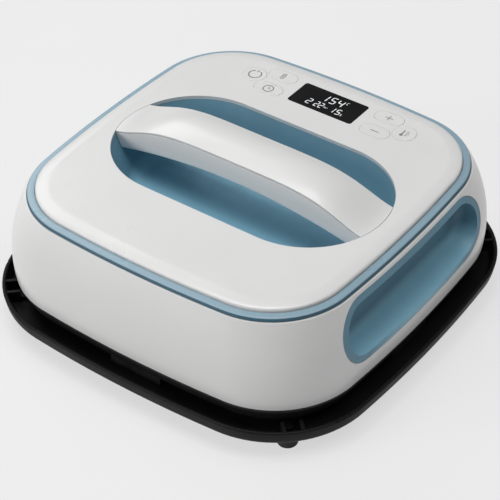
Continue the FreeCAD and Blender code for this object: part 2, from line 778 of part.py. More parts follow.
def housing_rear():
    """Rear stretch of the white wall, which carries the gland."""
    return housing_wall().common(rear_room())


def cover_ledge():
    """Shelf inside the top of the wall, drilled for the cover's screws."""
    low = LEDGE_TOP_Z - LEDGE_T
    ledge = prism(top_outline(COVER_GAP, low), LEDGE_T).common(wall_solid(HOUSING_WALL))
    ledge = ledge.cut(prism(top_outline(HOUSING_WALL + LEDGE_WIDTH, low), LEDGE_T))
    for at in cover_screw_points():
        ledge = ledge.cut(screw_hole(COVER_SCREW_D, *cover_screw_ends(at)))
    return ledge


def side_recess():
    """Blue hand hold of the +X side: bezel following the wall, and the pocket behind it."""
    far = WALL_WIDEST + 1
    mouth_length = RECESS_LENGTH - 2 * BEZEL
    mouth_height = RECESS_HEIGHT - 2 * BEZEL
    skin = wall_solid(COVER_GAP)
    bezel = skin.cut(wall_solid(HOUSING_WALL))
    bezel = bezel.common(pill_prism(RECESS_LENGTH, RECESS_HEIGHT, RECESS_BACK_X, far))
    shell = pocket(mouth_length + 2 * RECESS_WALL, mouth_height + 2 * RECESS_WALL,
                   RECESS_BACK_X - RECESS_WALL, RECESS_FILLET + RECESS_WALL)
    space = pocket(mouth_length, mouth_height, RECESS_BACK_X, RECESS_FILLET)
    return united([bezel, shell.common(skin)]).cut(space)


def pocket(length, height, back_x, fillet):
    """Pill-shaped pocket from outside the wall to its back, its floor rising inwards."""
    far = WALL_WIDEST + 1
    back_height = height - RECESS_RAMP
    back_length = length - RECESS_RAMP
    wires = []
    for x, l, h, lift in ((back_x, back_length, back_height, RECESS_RAMP / 2), (far, length, height, 0)):
        wire = rounded_rect(l / 2, h / 2, h / 2, 0)
        wire.rotate(V(0, 0, 0), V(1, 1, 1), 120)
        wire.translate(V(x, 0, RECESS_Z + lift))
        wires.append(wire)
    body = loft(wires)
    rim = [e for e in body.Edges if e.BoundBox.XLength < 1e-4 and abs(e.BoundBox.XMin - back_x) < 1e-4]
    return body.makeFillet(fillet, rim)


# ---------------------------------------------------------------- ring and cover
def trim_ring():
    """Blue ring: sloping face, upright edge and a stem inside the housing wall."""
    low = LEDGE_TOP_Z
    stem = prism(top_outline(HOUSING_WALL + COVER_GAP, low), RING_Z - low)
    edge = prism(top_outline(RING_SHOULDER, RING_Z), RING_EDGE)
    slope = loft([top_outline(RING_SHOULDER, RING_Z + RING_EDGE),
                  top_outline(RING_INSET, RING_Z + RING_EDGE + RING_STEP)])
    hole = prism(top_outline(RING_INSET, low), COVER_Z - low)
    return united([stem, edge, slope]).cut(hole)


def cover_form(inset, drop):
    """Cover's outside, or its inside when moved in and down by the wall."""
    edge_z = RING_Z + RING_EDGE + RING_STEP - drop
    top_z = COVER_Z - drop
    skirt = prism(top_outline(COVER_INSET + inset, LEDGE_TOP_Z), edge_z - LEDGE_TOP_Z)
    sections = []
    for step in range(5):
        a = math.pi / 2 * step / 4
        moved = COVER_INSET + inset + ROLL_WIDTH * (1 - math.cos(a))
        sections.append(top_outline(moved, edge_z + (top_z - edge_z) * math.sin(a)))
    return united([skirt, loft(sections, smooth=True)])


def control_board_points():
    """Bosses under the cover that carry the control board."""
    near = SPACER_D / 2 + 1
    front = CONTROL_BOARD_AT - CONTROL_BOARD_Y / 2 + near
    back = CONTROL_BOARD_AT + CONTROL_BOARD_Y / 2 - near
    side = CONTROL_BOARD_X / 2 - near
    middle = WINDOW_X / 2 + near
    return [(-side, front), (side, front), (-middle, back), (middle, back)]


def control_screw_ends(at):
    """Head seat under the control board and tip in the cover's boss."""
    return V(at[0], at[1], CONTROL_Z - BOARD_T), V(at[0], at[1], COVER_UNDER_Z - SEAM)


def opening_prism(inset=0.0):
    """Pill through the cover above the well, clear of the handle's crest."""
    radius = WELL_R - inset
    wire = rounded_rect(WELL_STRAIGHT + radius, radius, radius, COVER_UNDER_Z)
    return prism(wire, HANDLE_RISE + 3 * COVER_WALL)


def top_cover():
    """White cover with a rolled edge, the handle opening, window seat and key holes."""
    cover = cover_form(0, 0).cut(cover_form(COVER_WALL, COVER_WALL))
    rise = COVER_UNDER_Z - LEDGE_TOP_Z
    bosses = [post(2.2 * COVER_SCREW_D, rise + COVER_WALL / 2, at, LEDGE_TOP_Z)
              for at in cover_screw_points()]
    bosses = [b.common(cover_form(0, 0)) for b in bosses]
    bosses += [post(SPACER_D, COVER_UNDER_Z - CONTROL_Z + COVER_WALL / 2, at, CONTROL_Z)
               for at in control_board_points()]
    cover = united([cover] + bosses).cut(opening_prism())
    cover = cover.cut(window_form(WINDOW_X + SEAM, WINDOW_Y + SEAM, COVER_Z - WINDOW_T, 2 * WINDOW_T))
    cover = cover.cut(window_form(WINDOW_X - 2 * WINDOW_LEDGE, WINDOW_Y - 2 * WINDOW_LEDGE,
                                  COVER_UNDER_Z - 1, 2 * COVER_WALL))
    for key in KEYS:
        cover = cover.cut(key_form(key, KEY_GAP, COVER_UNDER_Z - 1, 2 * COVER_WALL))
    for at in cover_screw_points():
        cover = cover.cut(screw_hole(COVER_SCREW_D, *cover_screw_ends(at)))
    for at in control_board_points():
        cover = cover.cut(screw_hole(SMALL_SCREW_D, *control_screw_ends(at)))
    return cover


def cover_screws():
    """Screws up through the ledge."""
    return [screw(COVER_SCREW_D, *cover_screw_ends(at)) for at in cover_screw_points()]


# ---------------------------------------------------------------- well and handle
def well_form(inset, floor_z, fillet):
    """Tapering pill-shaped basin from its floor up to the cover's underside."""
    top = WELL_R - inset
    low = WELL_FLOOR_R - inset
    body = loft([rounded_rect(WELL_STRAIGHT + low, low, low, floor_z),
                 rounded_rect(WELL_STRAIGHT + top, top, top, COVER_UNDER_Z)])
    return body.makeFillet(fillet, bottom_edges(body, floor_z))


def handle_screw_ends():
    """Head seat outside the well and tip in the handle, for the four handle screws."""
    level = (HANDLE_SCREW_Z - WELL_FLOOR_Z) / (COVER_UNDER_Z - WELL_FLOOR_Z)
    radius = WELL_FLOOR_R + (WELL_R - WELL_FLOOR_R) * level
    face = WELL_STRAIGHT + math.sqrt(radius ** 2 - HANDLE_SCREW_Y ** 2)
    seat = face + 2 * WELL_WALL
    return [(V(sx * seat, sy * HANDLE_SCREW_Y, HANDLE_SCREW_Z),
             V(sx * (face - HANDLE_SCREW_REACH), sy * HANDLE_SCREW_Y, HANDLE_SCREW_Z))
            for sx, sy in CORNERS]


def handle_well():
    """Blue basin under the handle, flanged under the cover, with screw bosses at its ends."""
    shell = well_form(-WELL_WALL, WELL_FLOOR_Z - WELL_WALL, WELL_FLOOR_FILLET + WELL_WALL)
    radius = WELL_R + WELL_FLANGE
    flange = prism(rounded_rect(WELL_STRAIGHT + radius, radius, radius, COVER_UNDER_Z - WELL_WALL), WELL_WALL)
    bosses = [rod(2.2 * HANDLE_SCREW_D, tip, seat) for seat, tip in handle_screw_ends()]
    well = united([shell, flange] + bosses).cut(well_form(0, WELL_FLOOR_Z, WELL_FLOOR_FILLET))
    for seat, tip in handle_screw_ends():
        well = well.cut(screw_hole(HANDLE_SCREW_D, seat, tip))
    return well


def handle_top(x):
    """Height of the handle's top, falling smoothly to the cover at its run-out."""
    share = min(abs(x) / HANDLE_RUNOUT, 1.0)
    return COVER_Z + HANDLE_RISE * math.cos(math.pi / 2 * share ** HANDLE_POWER) ** 2


def handle_crown(x):
    """Rise of the top across the handle's width, least where it meets the cover."""
    share = (handle_top(x) - COVER_Z) / HANDLE_RISE
    return HANDLE_CROWN_END + (HANDLE_CROWN - HANDLE_CROWN_END) * share


def handle_seam(x):
    """Height of the cap's lower edge."""
    return handle_top(x) - handle_crown(x) - HANDLE_CAP


def handle_low(x):
    """Height of the handle's arched underside."""
    crown = COVER_Z + HANDLE_RISE - HANDLE_THICK
    return crown - HANDLE_ARCH_R + math.sqrt(HANDLE_ARCH_R ** 2 - x ** 2)


def handle_half_width(x):
    """Half width of the handle, waisted at mid span."""
    share = min(abs(x) / HANDLE_RUNOUT, 1.0)
    return (HANDLE_WAIST + (HANDLE_END - HANDLE_WAIST) * share ** 2) / 2


def crowned_section(x, half, low, high, crown):
    """Section of the cap at one x: upright sides under an arched top."""
    shoulder = high - crown
    corners = [V(x, half, shoulder), V(x, half, low), V(x, -half, low), V(x, -half, shoulder)]
    edges = [Part.makeLine(a, b) for a, b in zip(corners, corners[1:])]
    return Part.Wire(edges + [Part.Arc(corners[3], V(x, 0, high), corners[0]).toShape()])


def cradle_section(x, half, low, high, radius):
    """Section of the grip at one x: flat on top, its lower corners round."""
    nook = radius * (1 - math.sqrt(0.5))
    right = [V(x, half, high), V(x, half, low + radius), V(x, half - nook, low + nook),
             V(x, half - radius, low)]
    left = [V(p.x, -p.y, p.z) for p in reversed(right)]
    edges = [Part.makeLine(right[0], right[1]), Part.Arc(*right[1:]).toShape(),
             Part.makeLine(right[3], left[0]), Part.Arc(*left[:3]).toShape(),
             Part.makeLine(left[2], left[3]), Part.makeLine(left[3], right[0])]
    return Part.Wire(edges)


def handle_loft(reach, section):
    """Smooth solid through the handle's sections from end to end."""
    steps = 16
    return loft([section(-reach + 2 * reach * i / steps) for i in range(steps + 1)], smooth=True)


def handle_room():
    """Space the handle may fill: the well and the cover's opening, less the seam."""
    return well_form(SEAM, WELL_FLOOR_Z, WELL_FLOOR_FILLET).fuse(opening_prism(SEAM)).removeSplitter()


def cap_section(x):
    """Outside of the cap."""
    return crowned_section(x, handle_half_width(x), handle_seam(x), handle_top(x), handle_crown(x))


def cap_hollow_section(x):
    """Room inside the cap, its ceiling one wall below the crowned top."""
    half = handle_half_width(x) - 2 * HANDLE_WALL
    crown = handle_crown(x) * (half / handle_half_width(x)) ** 2
    ceiling = handle_top(x) - HANDLE_WALL
    return crowned_section(x, half, ceiling - HANDLE_CROWN - HANDLE_WALL, ceiling, crown)


def handle_upper_shell():
    """White cap of the handle, hollow from below."""
    cap = handle_loft(HANDLE_RUNOUT + 2, cap_section)
    hollow = handle_loft(WELL_STRAIGHT + WELL_FLOOR_R, cap_hollow_section)
    return cap.cut(hollow).common(handle_room())


def grip_section(x):
    """Outside of the grip."""
    return cradle_section(x, handle_half_width(x), handle_low(x), handle_seam(x) - SEAM, HANDLE_GRIP_R)


def grip_hollow_section(x):
    """Room inside the grip, open at the top."""
    return cradle_section(x, handle_half_width(x) - HANDLE_WALL, handle_low(x) + HANDLE_WALL,
                          handle_seam(x) + SEAM, HANDLE_GRIP_R - HANDLE_WALL)


def handle_lower_shell():
    """Grip under the cap: rounded below, hollow from above, solid where the screws enter."""
    grip = handle_loft(HANDLE_RUNOUT + 2, grip_section)
    hollow = handle_loft(WELL_STRAIGHT + WELL_FLOOR_R - HANDLE_SCREW_REACH, grip_hollow_section)
    grip = grip.cut(hollow).common(handle_room())
    for seat, tip in handle_screw_ends():
        grip = grip.cut(screw_hole(HANDLE_SCREW_D, seat, tip))
    return grip


def handle_screws():
    """Screws from outside the well into the ends of the grip."""
    return [screw(HANDLE_SCREW_D, seat, tip) for seat, tip in handle_screw_ends()]


# ---------------------------------------------------------------- panel
KEYS = {
    "power_key": (-ROUND_KEY_X, PANEL_Y, True),
    "mode_key": (ROUND_KEY_X, PANEL_Y, True),
    "temperature_key": (-PILL_AT_X, PANEL_Y + PILL_AT_Y, False),
    "timer_key": (-PILL_AT_X, PANEL_Y - PILL_AT_Y, False),
    "plus_key": (PILL_AT_X, PANEL_Y + PILL_AT_Y, False),
    "minus_key": (PILL_AT_X, PANEL_Y - PILL_AT_Y, False),
}


def key_form(key, grow, z, height):
    """Key's plan shape, grown all round, as a prism."""
    x, y, is_round = KEYS[key]
    if is_round:
        return post(ROUND_KEY_D + 2 * grow, height, (x, y), z)
    radius = PILL_Y / 2 + grow
    return prism(rounded_rect(PILL_X / 2 + grow, radius, radius, z, (x, y)), height)


def key_cap(key):
    """Key with a retaining flange below the cover."""
    flange_z = COVER_UNDER_Z - KEY_SLACK - KEY_RETAINER_T
    cap = key_form(key, 0, flange_z, COVER_Z + SEAM / 2 - flange_z)
    cap = cap.makeFillet(KEY_GAP, bottom_edges(cap, COVER_Z + SEAM / 2))
    return cap.fuse(key_form(key, KEY_RETAINER, flange_z, KEY_RETAINER_T)).removeSplitter()


def key_plunger(key):
    """Switch plunger that travels with its key."""
    x, y, _ = KEYS[key]
    top = COVER_UNDER_Z - KEY_SLACK - KEY_RETAINER_T
    low = CONTROL_Z + SWITCH_H - 3 * KEY_TRAVEL
    return post(PLUNGER_D, top - low, (x, y), low)


def switch_cases():
    """Six tactile switch bodies on the control board."""
    cases = []
    for x, y, _ in KEYS.values():
        case = box((SWITCH, SWITCH, SWITCH_H), (x, y), CONTROL_Z)
        bore = post(PLUNGER_BORE, SWITCH_H, (x, y), CONTROL_Z + SWITCH_H - 5 * KEY_TRAVEL)
        cases.append(case.cut(bore))
    return cases


def window_form(size_x, size_y, z, height):
    """Rounded rectangle at the display's place."""
    return prism(rounded_rect(size_x / 2, size_y / 2, WINDOW_R, z, (0, PANEL_Y)), height)


def display_window():
    """Black glass let into the cover."""
    return window_form(WINDOW_X, WINDOW_Y, COVER_Z - WINDOW_T, WINDOW_T)


def display_module():
    """Liquid crystal cell and its frame, between board and window."""
    size_x = WINDOW_X - 2 * WINDOW_LEDGE - 2 * SEAM
    size_y = WINDOW_Y - 2 * WINDOW_LEDGE - 2 * SEAM
    frame = window_form(size_x, size_y, CONTROL_Z, COVER_Z - WINDOW_T - SEAM - CONTROL_Z)
    return frame


def control_board():
    """Printed circuit board under the panel."""
    board = box((CONTROL_BOARD_X, CONTROL_BOARD_Y, BOARD_T), (0, CONTROL_BOARD_AT), CONTROL_Z - BOARD_T)
    for at in control_board_points():
        board = board.cut(screw_hole(SMALL_SCREW_D, *control_screw_ends(at)))
    return board


def buzzer():
    """Sounder hanging under the control board."""
    return post(BUZZER_D, BUZZER_H, (-PILL_AT_X, CONTROL_BOARD_AT), CONTROL_Z - BOARD_T - BUZZER_H)


# ---------------------------------------------------------------- chassis and power board
def power_board_points():
    """Spacers near the power board's corners."""
    return [(sx * (POWER_BOARD_X / 2 - SPACER_D), POWER_BOARD_AT + sy * (POWER_BOARD_Y / 2 - SPACER_D))
            for sx, sy in CORNERS]


def power_screw_ends(at):
    """Head seat on the power board and tip in its spacer."""
    top = CHASSIS_Z + CHASSIS_T + SPACER_H + BOARD_T
    return V(at[0], at[1], top), V(at[0], at[1], CHASSIS_Z + CHASSIS_T + SEAM)


def chassis_plate():
    """Steel plate over the heat shield with riveted spacers for the power board."""
    plate = prism(rounded_square(CHASSIS_HALF, CHASSIS_CORNER, CHASSIS_Z), CHASSIS_T)
    spacers = [post(SPACER_D, CHASSIS_T + SPACER_H, at, CHASSIS_Z) for at in power_board_points()]
    plate = united([plate] + spacers)
    for end in element_ends():
        plate = plate.cut(post(3 * ELEMENT_D, 4 * CHASSIS_T, (end.x, end.y), CHASSIS_Z - CHASSIS_T))
    for at in chassis_points():
        plate = plate.cut(screw_hole(SMALL_SCREW_D, *chassis_screw_ends(at)))
    for at in power_board_points():
        plate = plate.cut(screw_hole(SMALL_SCREW_D, *power_screw_ends(at)))
    return plate


def power_board():
    """Mains board on the chassis."""
    z = CHASSIS_Z + CHASSIS_T + SPACER_H
    board = box((POWER_BOARD_X, POWER_BOARD_Y, BOARD_T), (0, POWER_BOARD_AT), z)
    for at in power_board_points():
        board = board.cut(screw_hole(SMALL_SCREW_D, *power_screw_ends(at)))
    return board


def power_components():
    """Relay, transformer, capacitor, terminal block and finned heat sink."""
    z = CHASSIS_Z + CHASSIS_T + SPACER_H + BOARD_T
    y = POWER_BOARD_AT
    relay = box((RELAY_X, RELAY_Y, RELAY_H), (RELAY_AT, y), z)
    core = box((CORE_X, CORE_Y, CORE_H), (TRANSFORMER_AT, y), z)
    coil = box((COIL_X, COIL_Y, COIL_H), (TRANSFORMER_AT, y), z + (CORE_H - COIL_H) / 2)
    web_y = y - HEAT_SINK_BACK
    web = box((HEAT_SINK_X, HEAT_SINK_WEB, HEAT_SINK_H), (HEAT_SINK_AT, web_y), z)
    fins = [box((FIN_T, FIN_LENGTH, HEAT_SINK_H),
                (HEAT_SINK_AT + FIN_PITCH * (i - (FINS - 1) / 2), web_y + FIN_LENGTH / 2), z)
            for i in range(FINS)]
    block_y = y + BLOCK_SHIFT
    block = box((BLOCK_X, BLOCK_Y, BLOCK_H), (BLOCK_AT, block_y), z)
    ways = [box((WAY, WAY, WAY_H), (BLOCK_AT + WAY_PITCH * (i - (WAYS - 1) / 2), block_y + WAY_SHIFT),
                z + WAY_RISE) for i in range(WAYS)]
    capacitor = post(CAPACITOR_D, CAPACITOR_H, (CAPACITOR_AT, y - CAPACITOR_BACK), z)
    return {"relay": relay, "transformer": united([core, coil]), "capacitor": capacitor,
            "heat_sink": united([web] + fins),
            "terminal_block": block.cut(Part.makeCompound(ways))}


def chassis_screws():
    """Screws down into the collar's posts."""
    return [screw(SMALL_SCREW_D, *chassis_screw_ends(at)) for at in chassis_points()]


def board_screws():
    """Screws of both boards."""
    return ([screw(SMALL_SCREW_D, *power_screw_ends(at)) for at in power_board_points()]
            + [screw(SMALL_SCREW_D, *control_screw_ends(at)) for at in control_board_points()])


# ---------------------------------------------------------------- cord entry
def cord_gland():
    """Flanged bush through the rear wall."""
    seat = V(0, gland_seat_y(), GLAND_Z)
    flange = rod(GLAND_FLANGE, seat, seat + V(0, GLAND_FLANGE_T, 0))
    tail = seat - V(0, 4 * HOUSING_WALL, 0)
    barrel = rod(GLAND_BARREL, tail, seat)
    bore = rod(GLAND_BORE, tail - V(0, 1, 0), seat + V(0, GLAND_FLANGE, 0))
    return flange.fuse(barrel).removeSplitter().cut(bore)


def gland_nut():
    """Hexagonal nut that clamps the bush from inside."""
    face = V(0, gland_seat_y() - 1.6 * HOUSING_WALL, GLAND_Z)
    radius = GLAND_FLANGE / 2
    points = [face + V(radius * math.cos(math.pi / 3 * i), 0, radius * math.sin(math.pi / 3 * i))
              for i in range(7)]
    nut = Part.Face(Part.makePolygon(points)).extrude(V(0, -1.4 * HOUSING_WALL, 0))
    return nut.cut(rod(GLAND_BARREL + 2 * PIN_CLEAR, V(0, 0, GLAND_Z), face))


# ---------------------------------------------------------------- assembly
def build():
    """All sub-parts by node name; groups of identical pieces are lists."""
    parts = {f.__name__: f() for f in (
        base_tray, base_feet, base_foot_screws, base_heat_liner, base_support_pads,
        heat_plate, heating_element, element_terminals, plate_washers, plate_screws,
        insulation_blanket, heat_shield, bottom_collar, housing_screws, outer_housing,
        housing_rear, cover_ledge,
        trim_ring, top_cover, cover_screws, handle_well, handle_upper_shell,
        handle_lower_shell, handle_screws, display_window, display_module, control_board,
        switch_cases, buzzer, chassis_plate, power_board, chassis_screws, board_screws,
        cord_gland, gland_nut)}
    parts.update(plate_sensors())
    parts.update(power_components())
    parts["side_recess_right"] = side_recess()
    parts["side_recess_left"] = turned_about_z(parts["side_recess_right"], 180)
    for key in KEYS:
        parts[key] = key_cap(key)
        parts[key.replace("key", "plunger")] = key_plunger(key)
    return parts


def export(parts):
    """One STEP file to a node."""
    os.makedirs("parts", exist_ok=True)
    for name, shape in parts.items():
        solid = Part.makeCompound(shape) if isinstance(shape, list) else shape
        solid.exportStep("parts/" + name + ".step")


export(build())
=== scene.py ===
# %% [markdown]
# # A craft heat press, parked on its safety base
#
# The press is a white rounded-square box with an arched handle across a blue well, a
# blue trim ring, a blue hand hold in each side, a small display with six keys, and a
# black tray on rubber feet. Its exact solids come from a CAD model, called the frame.
# This lesson dresses them: it works out the trim ring, the cover's edge, the handle, the
# window and the keys as numpy surfaces, adds the printed marks and the lit digits, gives
# every part a finish made of nodes, and sets up a floor, soft lamps and a camera.
#
# Every part could be shown as it is, but CAD meshes are cut into long thin triangles,
# which make gloss look crumpled on slender curved parts. Skins that we work out on an
# even grid reflect cleanly, and let us round edges that the CAD model leaves sharp.

# %% Load the frame
import json
import math

import bmesh
import bpy
import numpy as np
from mathutils import Matrix, Vector


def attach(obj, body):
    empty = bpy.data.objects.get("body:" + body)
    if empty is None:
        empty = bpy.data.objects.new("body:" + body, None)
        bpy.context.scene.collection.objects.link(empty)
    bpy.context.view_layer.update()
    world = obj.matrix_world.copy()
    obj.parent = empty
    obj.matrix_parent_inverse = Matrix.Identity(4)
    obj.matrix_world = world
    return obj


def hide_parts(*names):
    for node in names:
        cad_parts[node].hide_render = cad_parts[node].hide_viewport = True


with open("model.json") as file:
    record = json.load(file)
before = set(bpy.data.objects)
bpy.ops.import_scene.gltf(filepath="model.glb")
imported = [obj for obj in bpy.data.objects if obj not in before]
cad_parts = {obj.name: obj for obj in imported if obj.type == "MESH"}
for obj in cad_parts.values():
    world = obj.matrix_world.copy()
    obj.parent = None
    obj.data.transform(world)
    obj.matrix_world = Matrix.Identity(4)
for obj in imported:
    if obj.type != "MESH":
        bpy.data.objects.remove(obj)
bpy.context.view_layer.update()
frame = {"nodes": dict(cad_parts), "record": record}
nodes = frame["nodes"]

# %% [markdown]
# ## Sizes that the skins share
#
# All lengths are metres, and a length in millimetres is easier to read, so `MM` turns
# one into the other. Two levels are named because several skins start from them: the
# top of the cover, and the line across it on which the display and keys lie.

# %% Sizes and levels
MM = 0.001
COVER_Z = 108.0 * MM
PANEL_Y = 98.6 * MM
print("the cover lies", round(COVER_Z / MM, 1), "mm above the table")

# %% [markdown]
# ## Smooth shading for the CAD parts that stay
#
# A CAD part arrives as loose triangles, each with its own corners, so it shows facets.
# Its mesh is never changed here. A Geometry Nodes modifier merges the corners while
# rendering, shades the faces smooth, and keeps an edge crisp where two faces meet at
# more than a set angle. That is what a moulder means by a sharp edge.

# %% A modifier that smooths what should be smooth
SAME_CORNER = 0.002 * MM
CAD_CREASE = math.radians(28)


def smoothing_nodes(name, angle):
    """Merge corners that coincide, shade smooth, and sharpen edges steeper than angle."""
    tree = bpy.data.node_groups.new(name, "GeometryNodeTree")
    tree.interface.new_socket("Geometry", in_out="INPUT", socket_type="NodeSocketGeometry")
    tree.interface.new_socket("Geometry", in_out="OUTPUT", socket_type="NodeSocketGeometry")
    start = tree.nodes.new("NodeGroupInput")
    merge = tree.nodes.new("GeometryNodeMergeByDistance")
    merge.inputs["Distance"].default_value = SAME_CORNER
    smooth = tree.nodes.new("GeometryNodeSetShadeSmooth")
    steep = tree.nodes.new("GeometryNodeInputMeshEdgeAngle")
    compare = tree.nodes.new("FunctionNodeCompare")
    compare.data_type = "FLOAT"
    compare.operation = "GREATER_THAN"
    compare.inputs[1].default_value = angle
    sharpen = tree.nodes.new("GeometryNodeSetShadeSmooth")
    sharpen.domain = "EDGE"
    sharpen.inputs["Shade Smooth"].default_value = False
    end = tree.nodes.new("NodeGroupOutput")
    tree.links.new(start.outputs[0], merge.inputs["Geometry"])
    tree.links.new(merge.outputs[0], smooth.inputs["Geometry"])
    tree.links.new(smooth.outputs[0], sharpen.inputs["Geometry"])
    tree.links.new(steep.outputs["Unsigned Angle"], compare.inputs[0])
    tree.links.new(compare.outputs[0], sharpen.inputs["Selection"])
    tree.links.new(sharpen.outputs[0], end.inputs[0])
    return tree


SMOOTHING = smoothing_nodes("smooth_by_angle", CAD_CREASE)
for part in nodes.values():
    modifier = part.modifiers.new("smooth_by_angle", "NODES")
    modifier.node_group = SMOOTHING
print("smoothed", len(nodes), "parts")

# %% [markdown]
# ## Effects that several finishes share
#
# A finish is a Principled shader fed by patterns. Patterns used by more than one finish
# are node groups: little machines with named inputs and outputs that are built once and
# placed in each material with its own numbers. They give out only colours, masks and
# heights; the shader itself stays in the material.

# %% Helpers for node trees
def new_group(name, inputs, outputs):
    """Shader node group with named sockets; returns the tree, its start and its end."""
    tree = bpy.data.node_groups.new(name, "ShaderNodeTree")
    kinds = {"vector": "NodeSocketVector", "colour": "NodeSocketColor", "value": "NodeSocketFloat"}
    for label, kind, value in inputs:
        socket = tree.interface.new_socket(label, in_out="INPUT", socket_type=kinds[kind])
        if value is not None:
            socket.default_value = value
    for label, kind in outputs:
        tree.interface.new_socket(label, in_out="OUTPUT", socket_type=kinds[kind])
    return tree, tree.nodes.new("NodeGroupInput"), tree.nodes.new("NodeGroupOutput")


def feed(tree, socket, given):
    """Set a socket to a number or a colour, or link another node's output to it."""
    if isinstance(given, (int, float, tuple)):
        socket.default_value = given
    else:
        tree.links.new(given, socket)


def noise(tree, vector, scale, detail=3.0, squeeze=None):
    """Noise texture's Factor output; squeeze makes it that many times finer along each axis."""
    if squeeze is not None:
        mapping = tree.nodes.new("ShaderNodeMapping")
        mapping.inputs["Scale"].default_value = squeeze
        tree.links.new(vector, mapping.inputs["Vector"])
        vector = mapping.outputs[0]
    texture = tree.nodes.new("ShaderNodeTexNoise")
    texture.inputs["Detail"].default_value = detail
    tree.links.new(vector, texture.inputs["Vector"])
    feed(tree, texture.inputs["Scale"], scale)
    return texture.outputs["Fac"]


def maths(tree, operation, first, second):
    """One Math node on two values or sockets."""
    node = tree.nodes.new("ShaderNodeMath")
    node.operation = operation
    for socket, given in zip(node.inputs, (first, second)):
        feed(tree, socket, given)
    return node.outputs[0]


def ramp(tree, value, low, high, to_low=0.0, to_high=1.0):
    """Map Range node from low..high to a new range, clamped."""
    node = tree.nodes.new("ShaderNodeMapRange")
    limits = {"From Min": low, "From Max": high, "To Min": to_low, "To Max": to_high}
    for label, given in limits.items():
        feed(tree, node.inputs[label], given)
    tree.links.new(value, node.inputs["Value"])
    return node.outputs["Result"]


def blend_colour(tree, share, first, second):
    """Mix node from the first colour to the second."""
    node = tree.nodes.new("ShaderNodeMix")
    node.data_type = "RGBA"
    for label, given in (("Factor", share), ("A", first), ("B", second)):
        feed(tree, node.inputs[label], given)
    return node.outputs["Result"]


print("node helpers: feed, noise, maths, ramp and blend_colour")

# %% [markdown]
# ### Moulded skin
#
# Plastic from a mould is never one colour all over. Pigment clouds it a little, the
# polished mould leaves a very fine orange peel, and handling leaves the gloss patchy.
# One group gives all three: a clouded colour, a patchy roughness and a grain height.

# %% Group: moulded skin
def moulded_skin():
    """Colour clouds, gloss patches at 0.8 of the clouds' scale, and grain at its own."""
    tree, start, end = new_group(
        "Moulded skin",
        [("Vector", "vector", None), ("Colour", "colour", (0.8, 0.8, 0.8, 1)),
         ("Shade", "colour", (0.75, 0.75, 0.75, 1)), ("Cloud scale", "value", 25.0),
         ("Grain scale", "value", 900.0), ("Roughness low", "value", 0.2),
         ("Roughness high", "value", 0.3)],
        [("Colour", "colour"), ("Roughness", "value"), ("Height", "value")])
    vector = start.outputs["Vector"]
    cloud = ramp(tree, noise(tree, vector, start.outputs["Cloud scale"]), 0.35, 0.7)
    colour = blend_colour(tree, cloud, start.outputs["Colour"], start.outputs["Shade"])
    patch = noise(tree, vector, maths(tree, "MULTIPLY", start.outputs["Cloud scale"], 0.8), 2.0)
    rough = ramp(tree, patch, 0.25, 0.75,
                 start.outputs["Roughness low"], start.outputs["Roughness high"])
    grain = noise(tree, vector, start.outputs["Grain scale"], 2.0)
    tree.links.new(colour, end.inputs["Colour"])
    tree.links.new(rough, end.inputs["Roughness"])
    tree.links.new(grain, end.inputs["Height"])
    return tree


MOULDED = moulded_skin()
print("group:", MOULDED.name, "with", len(MOULDED.nodes), "nodes")

# %% [markdown]
# ### Edge rub
#
# Where fingers and table tops touch, an outer edge turns a shade lighter or darker. The
# Geometry node's Pointiness says how much a surface bulges at a point; a noise breaks
# the line up, because a rubbed edge is never even.

# %% Group: edge rub
def edge_rub():
    """Mask = (pointiness above a threshold) x (uneven noise) x amount, and the mixed colour."""
    tree, start, end = new_group(
        "Edge rub",
        [("Vector", "vector", None), ("Pointiness", "value", 0.5),
         ("Colour", "colour", (0.8, 0.8, 0.8, 1)), ("Rubbed colour", "colour", (0.9, 0.9, 0.9, 1)),
         ("Amount", "value", 0.5)],
        [("Colour", "colour"), ("Mask", "value")])
    bulge = ramp(tree, start.outputs["Pointiness"], 0.53, 0.62)
    broken = ramp(tree, noise(tree, start.outputs["Vector"], 140.0, 5.0), 0.35, 0.6)
    mask = maths(tree, "MULTIPLY", maths(tree, "MULTIPLY", bulge, broken), start.outputs["Amount"])
    colour = blend_colour(tree, mask, start.outputs["Colour"], start.outputs["Rubbed colour"])
    tree.links.new(colour, end.inputs["Colour"])
    tree.links.new(mask, end.inputs["Mask"])
    return tree


RUB = edge_rub()
print("group:", RUB.name, "with", len(RUB.nodes), "nodes")

# %% [markdown]
# ### Rolled metal
#
# Sheet, bar and turned screws carry fine lines from the rolls or the lathe. Noise that
# is squeezed sixtyfold across the lines draws them; they tint the metal and change its
# gloss far more than they change its height.

# %% Group: rolled metal
def rolled_metal():
    """Streaks along X from noise squeezed along Y and Z, with slow blotches over them."""
    tree, start, end = new_group(
        "Rolled metal",
        [("Vector", "vector", None), ("Colour", "colour", (0.6, 0.6, 0.6, 1)),
         ("Stain", "colour", (0.4, 0.4, 0.4, 1)), ("Streak scale", "value", 40.0),
         ("Roughness low", "value", 0.25), ("Roughness high", "value", 0.45)],
        [("Colour", "colour"), ("Roughness", "value"), ("Height", "value")])
    vector = start.outputs["Vector"]
    streak = noise(tree, vector, start.outputs["Streak scale"], 4.0, (1.0, 60.0, 12.0))
    blotch = noise(tree, vector, 60.0)
    share = maths(tree, "MULTIPLY", ramp(tree, streak, 0.3, 0.7),
                  ramp(tree, blotch, 0.3, 0.8, 0.3, 1.0))
    colour = blend_colour(tree, share, start.outputs["Colour"], start.outputs["Stain"])
    rough = ramp(tree, streak, 0.25, 0.75,
                 start.outputs["Roughness low"], start.outputs["Roughness high"])
    tree.links.new(colour, end.inputs["Colour"])
    tree.links.new(rough, end.inputs["Roughness"])
    tree.links.new(streak, end.inputs["Height"])
    return tree


